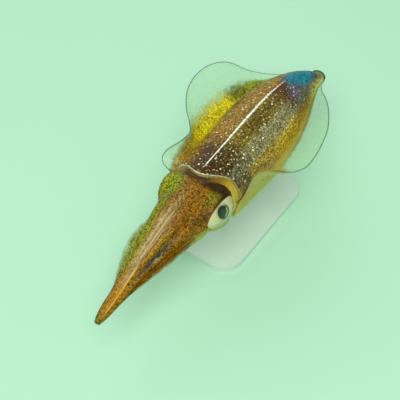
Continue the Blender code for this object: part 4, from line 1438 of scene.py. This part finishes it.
def add_relief(graph, shader, place, fold_size, depth):
    """Fine folds and an uneven shine."""
    relief = graph.group("Skin relief", Place=place, Fold_Size=fold_size)
    graph.plug(shader.inputs["Roughness"], relief["Shine"])
    add_bump(graph, shader, relief["Height"], depth)


def add_clouds(graph, shader, cloud, colour, share):
    """The colour, clouded with a darker share of itself."""
    shade = tuple(value * share for value in colour)
    graph.plug(shader.inputs["Base Color"], graph.mix(cloud, tuple(colour), shade))


def skin_material():
    finish, graph, shader = new_material("Wet spotted skin", coat=0.05, coat_roughness=0.25, specular=0.16)
    place, along, turn, mantle = lie_of(graph)
    markings = graph.group("Mantle markings", Place=place, Along=along, Turn=turn)["Color"]
    head = graph.group("Head and arm markings", Place=place, Along=along, Turn=turn)["Color"]
    behind, outer, collar = graph.separate(graph.attribute("margin"))
    edge = graph.noise(place, 700.0, 2.0, 0.6)
    rim = graph.step(behind, 0.5, 1.1, graph.step(edge, 0.3, 0.7, 0.45, 0.95), 0.0)
    rim = graph.times(rim, window(graph, turn, REACHES["pale rim"]))
    mantle_colour = graph.mix(rim, markings, COLOURS["cream"])
    mantle_colour = graph.mix(outer, COLOURS["tan"], mantle_colour)
    collar_turn = wandering(graph, place, turn, 8.0, 120.0)
    collar_colour = bands(graph, collar_turn, COLLAR_BANDS)
    head = graph.mix(collar, head, collar_colour)
    graph.plug(shader.inputs["Base Color"], graph.mix(mantle, head, mantle_colour))
    add_relief(graph, shader, place, 5 * MM, 0.3 * MM)
    return finish


def fin_material(settings):
    finish, graph, shader = new_material("Clear fin skin", roughness=0.35, coat=0.1, specular=0.3)
    place, along, turn, mantle = lie_of(graph)
    markings = graph.group("Mantle markings", Place=place, Along=along, Turn=turn)["Color"]
    arms = graph.group("Head and arm markings", Place=place, Along=along, Turn=turn)["Color"]
    body = graph.mix(mantle, arms, markings)
    veil, edge, line = graph.separate(graph.attribute("margin"))
    sheet_along, sheet_out, _ = graph.separate(graph.attribute("sheet"))
    veil = wandering(graph, place, veil, 0.35, 180.0)
    cover = graph.step(veil, 0.55, 1.3, 1.0, 0.0)
    dots, _ = spots(graph, place, "fin dots")
    dots = graph.times(dots, graph.step(veil, 0.9, 1.7, 0.85, 0.0))
    dots = graph.times(dots, graph.step(turn, -60.0, 0.0))
    fibres = graph.noise(
        graph.combine(graph.times(sheet_along, 0.9), graph.times(sheet_out, 0.08)), 1.0, 3.0, 0.6
    )
    rim = graph.times(graph.step(edge, 0.3, 0.95, 1.0, 0.0), line)
    streaks = graph.step(fibres, 0.3, 0.7)
    clear = graph.mix(streaks, tuple(settings.clear_colour), tuple(settings.fibre_colour))
    colour = graph.mix(cover, clear, body)
    colour = graph.mix(rim, colour, tuple(settings.edge_colour))
    least = graph.times(graph.step(fibres, 0.25, 0.75, 0.85, 1.15), settings.clear_cover)
    least = graph.times(least, graph.step(edge, 0.0, 5.0, 1.35, 1.0))
    alpha = graph.larger(graph.larger(cover, dots), least)
    alpha = graph.larger(alpha, graph.times(rim, 0.6))
    soft_edge = graph.larger(graph.step(edge, 0.3, 5.0), line)
    alpha = graph.times(alpha, soft_edge)
    graph.plug(shader.inputs["Base Color"], colour)
    graph.plug(shader.inputs["Alpha"], alpha)
    relief = graph.group("Skin relief", Place=place, Fold_Size=3 * MM)
    height = graph.plus(relief["Height"], graph.times(fibres, 0.4))
    add_bump(graph, shader, height, 0.08 * MM)
    return finish


def tail_fold_material():
    """Grey-green skin with a dark olive rim along its free edge."""
    finish, graph, shader = new_material("Tail fold skin", roughness=0.4, coat=0.1, specular=0.25)
    place = graph.place()
    reach, rearward, _ = graph.separate(graph.attribute("margin"))
    mottle = graph.noise(place, 500.0, 3.0, 0.6)
    colour = graph.mix(mottle, COLOURS["fold green"], COLOURS["fold shade"])
    rim = graph.times(graph.step(reach, 0.7, 0.86), graph.step(rearward, -0.35, 0.1))
    colour = graph.mix(graph.times(rim, 0.92), colour, COLOURS["fold rim"])
    graph.plug(shader.inputs["Base Color"], colour)
    add_relief(graph, shader, place, 2 * MM, 0.12 * MM)
    return finish


def eye_material(settings):
    finish, graph, shader = new_material(
        "Glossy eye", roughness=0.16, coat=0.4, coat_roughness=0.05, specular=0.4
    )
    place = graph.place()
    reach, across, up = graph.separate(graph.attribute("margin"))
    streaks = graph.noise(place, 900.0, 3.0, 0.6)
    cloud = graph.noise(place, 220.0, 3.0, 0.6)
    white = graph.mix(streaks, tuple(settings.iris_colour), COLOURS["eye streak"])
    white = graph.mix(graph.step(cloud, 0.45, 0.7, 0.0, 0.35), white, COLOURS["eye cloud"])
    shade = graph.step(reach, 1.1, 1.7, 0.5, 0.0)
    colour = graph.mix(shade, white, COLOURS["eye ring"])
    low = graph.times(graph.step(up, -3.0, -11.0), graph.step(cloud, 0.3, 0.6, 0.55, 0.95))
    colour = graph.mix(low, colour, COLOURS["eye low"])
    specks, _ = spots(graph, place, "eye specks")
    specks = graph.times(specks, graph.step(up, -1.0, -8.0, 0.0, 0.8))
    colour = graph.mix(specks, colour, COLOURS["brown"])
    towards = graph.minus(up, across)
    outline = window(graph, reach, PUPIL_OUTLINE)
    outline = graph.times(outline, graph.step(towards, 1.5, -3.0, 0.25, 1.0))
    colour = graph.mix(outline, colour, COLOURS["eye outline"])
    pupil = graph.step(reach, 0.92, 1.04, 1.0, 0.0)
    depth = graph.mix(graph.step(reach, 0.1, 0.85), COLOURS["eye depth"], tuple(settings.pupil_colour))
    # Painted highlight: a light crescent just inside the pupil's lower rear edge
    painted_highlight = window(graph, reach, PUPIL_PAINTED_HIGHLIGHT)
    painted_highlight = graph.times(painted_highlight, graph.step(towards, -2.6, -4.2))
    depth = graph.mix(graph.times(painted_highlight, 0.9), depth, COLOURS["painted eye highlight"])
    graph.plug(shader.inputs["Base Color"], graph.mix(pupil, colour, depth))
    add_bump(graph, shader, streaks, 0.04 * MM)
    return finish


def sucker_material():
    finish, graph, shader = new_material("Pale suckers", coat=0.3)
    place = graph.place()
    mottle = graph.noise(place, 700.0, 3.0, 0.6)
    graph.plug(shader.inputs["Base Color"], graph.mix(mottle, COLOURS["pink tan"], COLOURS["cream"]))
    add_relief(graph, shader, place, 1.5 * MM, 0.08 * MM)
    return finish


def stand_material(settings):
    finish, graph, shader = new_material("Matt stand lacquer", roughness=0.5)
    place = graph.place()
    add_clouds(graph, shader, graph.noise(place, 30.0, 3.0, 0.5), settings.colour, 0.92)
    grain = graph.noise(place, 2600.0, 2.0, 0.6)
    graph.plug(shader.inputs["Roughness"], graph.step(grain, 0.3, 0.7, 0.42, 0.58))
    add_bump(graph, shader, grain, 0.03 * MM)
    return finish


def floor_material(settings):
    finish, graph, shader = new_material("Pale floor", roughness=0.7)
    cloud = graph.noise(graph.place(), 3.0, 2.0, 0.5)
    add_clouds(graph, shader, cloud, settings.floor_colour, 0.96)
    return finish


# Settings


def colour_property(name, description, default):
    return bpy.props.FloatVectorProperty(
        name=name, description=description, default=default, subtype="COLOR", size=3, min=0.0, max=1.0
    )


class SquidSkinSettings(bpy.types.PropertyGroup):
    fineness: bpy.props.FloatProperty(
        name="Fineness",
        description="Size of the skin's faces",
        default=0.775 * MM,
        min=0.5 * MM,
        unit="LENGTH",
    )
    smoothing: bpy.props.IntProperty(name="Smoothing", description="Rounds of smoothing", default=3, min=0)


class SquidFinSettings(bpy.types.PropertyGroup):
    clear_colour: colour_property("Clear skin", "Colour of the thin part of the fins", (0.38, 0.72, 0.36))
    fibre_colour: colour_property("Fibres", "Colour of the fine streaks in the fins", (0.50, 0.78, 0.44))
    edge_colour: colour_property("Edge", "Colour of the line along the fins' edge", (0.06, 0.10, 0.03))
    clear_cover: bpy.props.FloatProperty(
        name="Cover",
        description="How much the thin part hides",
        default=0.24,
        min=0.0,
        max=1.0,
        subtype="FACTOR",
    )


class SquidEyeSettings(bpy.types.PropertyGroup):
    iris_colour: colour_property("Iris", "Colour of the pale part of the eyes", (0.70, 0.68, 0.36))
    pupil_colour: colour_property("Pupil", "Colour of the pupils", (0.006, 0.014, 0.006))


class SquidStandSettings(bpy.types.PropertyGroup):
    colour: colour_property("Stand", "Colour of the base and the rods", (0.60, 0.76, 0.66))


class SquidStudioSettings(bpy.types.PropertyGroup):
    floor_colour: colour_property("Floor", "Colour of the floor", (0.50, 0.80, 0.60))
    key_power: bpy.props.FloatProperty(
        name="Key light", description="Power of the large lamp", default=24.0, min=0.0, unit="POWER"
    )
    fill_power: bpy.props.FloatProperty(
        name="Fill light", description="Power of the second lamp", default=7.0, min=0.0, unit="POWER"
    )
    sky_strength: bpy.props.FloatProperty(
        name="Surroundings", description="Brightness of the even light from all round", default=0.55, min=0.0
    )


# Operators


class REEFSQUID_OT_groups(bpy.types.Operator):
    """Builds the node groups that the materials share"""

    bl_idname = "reef_squid.build_groups"
    bl_label = "Build Node Groups"

    def execute(self, context):
        dots_group()
        patch_group()
        grain_group()
        relief_group()
        mantle_pattern_group()
        head_pattern_group()
        return {"FINISHED"}


class REEFSQUID_OT_skin(bpy.types.Operator):
    """Models the one skin of mantle, head, arms, tentacles and funnel"""

    bl_idname = "reef_squid.add_skin"
    bl_label = "Add Skin"

    def execute(self, context):
        settings = context.scene.squid_skin
        meshes = [mantle_mesh(), collar_mesh(), head_mesh(), funnel_mesh(), crown_core_mesh()]
        for side in SIDES.values():
            meshes.append(eye_mound_mesh(side))
            meshes.append(tentacle_mesh(side))
            meshes += [arm_mesh(arm, side) for arm in ARMS.values()]
        skin = add_piece("squid_skin", gathered("squid_skin", meshes))
        remesh = skin.modifiers.new("one surface", "REMESH")
        remesh.mode = "VOXEL"
        remesh.voxel_size = settings.fineness
        apply_modifiers(skin)
        shape = bmesh.new()
        shape.from_mesh(skin.data)
        for _ in range(settings.smoothing):
            bmesh.ops.smooth_vert(
                shape, verts=shape.verts, factor=0.5, use_axis_x=True, use_axis_y=True, use_axis_z=True
            )
        bmesh.ops.recalc_face_normals(shape, faces=shape.faces)
        shape.to_mesh(skin.data)
        shape.free()
        lies, margins = zip(*(skin_lie(vertex.co) for vertex in skin.data.vertices))
        store(skin.data, "lie", lies)
        store(skin.data, "margin", margins)
        skin.data.shade_smooth()
        skin.data.materials.append(skin_material())
        into_place(skin)
        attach(skin, "root")
        arm_nodes = [f"arm_{arm}_{side}" for arm in ARMS for side in SIDES]
        tentacle_nodes = [f"tentacle_{side}_{part}" for side in SIDES for part in ("stalk", "club")]
        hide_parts("mantle", "head", "funnel", *arm_nodes, *tentacle_nodes)
        return {"FINISHED"}


class REEFSQUID_OT_fins(bpy.types.Operator):
    """Models the two clear fins, the keels of the arms and the fold at the tail"""

    bl_idname = "reef_squid.add_fins"
    bl_label = "Add Fins"

    def execute(self, context):
        finish = fin_material(context.scene.squid_fin)
        for side_name in SIDES:
            fin = fin_piece(side_name, finish)
            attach(fin, "root")
            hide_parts(f"fin_{side_name}")
            keel = keel_piece(side_name, finish)
            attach(keel, "root")
        fold = add_piece("tail_fold", tail_fold_mesh(), tail_fold_material())
        into_place(fold)
        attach(fold, "root")
        return {"FINISHED"}


class REEFSQUID_OT_eyes(bpy.types.Operator):
    """Models the two eyeballs"""

    bl_idname = "reef_squid.add_eyes"
    bl_label = "Add Eyes"

    def execute(self, context):
        finish = eye_material(context.scene.squid_eye)
        for side_name in SIDES:
            eye = add_piece(f"eye_{side_name}_ball", eyeball_mesh(side_name), finish)
            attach(eye, "root")
            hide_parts(f"eye_{side_name}")
        return {"FINISHED"}


class REEFSQUID_OT_suckers(bpy.types.Operator):
    """Models the suckers of all eight arms"""

    bl_idname = "reef_squid.add_suckers"
    bl_label = "Add Suckers"

    def execute(self, context):
        suckers = add_piece("arm_suckers", suckers_mesh(), sucker_material())
        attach(suckers, "root")
        return {"FINISHED"}


class REEFSQUID_OT_stand(bpy.types.Operator):
    """Gives the stand its finish"""

    bl_idname = "reef_squid.finish_stand"
    bl_label = "Finish Stand"

    def execute(self, context):
        finish = stand_material(context.scene.squid_stand)
        for name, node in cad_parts.items():
            if name.startswith("stand_"):
                node.data.materials.clear()
                node.data.materials.append(finish)
        return {"FINISHED"}


class REEFSQUID_OT_studio(bpy.types.Operator):
    """Sets the floor, the lamps and the camera"""

    bl_idname = "reef_squid.set_studio"
    bl_label = "Set Studio"

    def execute(self, context):
        settings = context.scene.squid_studio
        shape = bmesh.new()
        bmesh.ops.create_grid(shape, x_segments=8, y_segments=8, size=FLOOR_HALF_SIZE)
        bmesh.ops.translate(shape, vec=(0, 0, -FLOOR_DROP), verts=shape.verts)
        floor = add_piece("studio_floor", finished_mesh("studio_floor", shape), floor_material(settings))
        self.add_lamp("studio_key", settings.key_power)
        self.add_lamp("studio_fill", settings.fill_power)
        world = bpy.data.worlds.new("Pale surroundings")
        world.use_nodes = True
        backdrop = world.node_tree.nodes["Background"]
        backdrop.inputs["Color"].default_value = SURROUNDINGS_COLOUR
        backdrop.inputs["Strength"].default_value = settings.sky_strength
        context.scene.world = world
        context.scene.view_settings.view_transform = "Standard"
        self.add_camera(context)
        return {"FINISHED"}

    def add_lamp(self, name, power):
        place, width, colour = LAMPS[name]
        lamp = bpy.data.lights.new(name, "AREA")
        lamp.shape = "DISK"
        lamp.size = width
        lamp.energy = power
        lamp.color = colour
        holder = bpy.data.objects.new(name, lamp)
        holder.location = SQUID_AT + Vector(place)
        holder.rotation_euler = (-Vector(place)).to_track_quat("-Z", "Y").to_euler()
        bpy.context.scene.collection.objects.link(holder)

    def add_camera(self, context):
        """A level camera on the fitted point, turned so that the point falls on its pixel."""
        back = Vector(
            (
                math.sin(VIEW_AZIMUTH) * math.cos(VIEW_ELEVATION),
                -math.cos(VIEW_AZIMUTH) * math.cos(VIEW_ELEVATION),
                math.sin(VIEW_ELEVATION),
            )
        )
        right = Vector((math.cos(VIEW_AZIMUTH), math.sin(VIEW_AZIMUTH), 0))
        up = back.cross(right)
        level = Matrix((right, up, back)).transposed()
        half = PHOTO_SIZE / 2
        aim = right * (half - VIEW_POINT_PIXEL[0]) - up * (half - VIEW_POINT_PIXEL[1]) - back * FOCAL_PIXELS
        turn = (-back).rotation_difference(aim).to_matrix()
        data = bpy.data.cameras.new("photo_view")
        data.sensor_width = SENSOR_WIDTH
        data.lens = FOCAL_PIXELS / PHOTO_SIZE * SENSOR_WIDTH
        data.clip_start = 0.01
        camera = bpy.data.objects.new("photo_view", data)
        stands_at = Matrix.Translation(SQUID_AT + VIEW_POINT + back * VIEW_DISTANCE)
        camera.matrix_world = stands_at @ (turn @ level).to_4x4()
        context.scene.collection.objects.link(camera)
        context.scene.camera = camera


class VIEW3D_PT_reef_squid(bpy.types.Panel):
    """Lists the squid's parts and their settings"""

    bl_label = "Reef Squid"
    bl_space_type = "VIEW_3D"
    bl_region_type = "UI"
    bl_category = "Squid"

    def draw(self, context):
        layout = self.layout
        scene = context.scene
        for settings in (
            scene.squid_skin,
            scene.squid_fin,
            scene.squid_eye,
            scene.squid_stand,
            scene.squid_studio,
        ):
            box = layout.box()
            for name in settings.__annotations__:
                box.prop(settings, name)
        for operator in OPERATORS:
            layout.operator(operator.bl_idname)


SETTINGS = {
    "squid_skin": SquidSkinSettings,
    "squid_fin": SquidFinSettings,
    "squid_eye": SquidEyeSettings,
    "squid_stand": SquidStandSettings,
    "squid_studio": SquidStudioSettings,
}
OPERATORS = (
    REEFSQUID_OT_groups,
    REEFSQUID_OT_skin,
    REEFSQUID_OT_fins,
    REEFSQUID_OT_eyes,
    REEFSQUID_OT_suckers,
    REEFSQUID_OT_stand,
    REEFSQUID_OT_studio,
)
CLASSES = (*SETTINGS.values(), *OPERATORS, VIEW3D_PT_reef_squid)


def register():
    for made in CLASSES:
        bpy.utils.register_class(made)
    for name, made in SETTINGS.items():
        setattr(bpy.types.Scene, name, bpy.props.PointerProperty(type=made))


def unregister():
    for name in SETTINGS:
        delattr(bpy.types.Scene, name)
    for made in reversed(CLASSES):
        bpy.utils.unregister_class(made)


def main():
    register()
    bpy.ops.reef_squid.build_groups()
    bpy.ops.reef_squid.add_skin()
    bpy.ops.reef_squid.add_fins()
    bpy.ops.reef_squid.add_eyes()
    bpy.ops.reef_squid.add_suckers()
    bpy.ops.reef_squid.finish_stand()
    bpy.ops.reef_squid.set_studio()


if __name__ == "__main__":
    main()
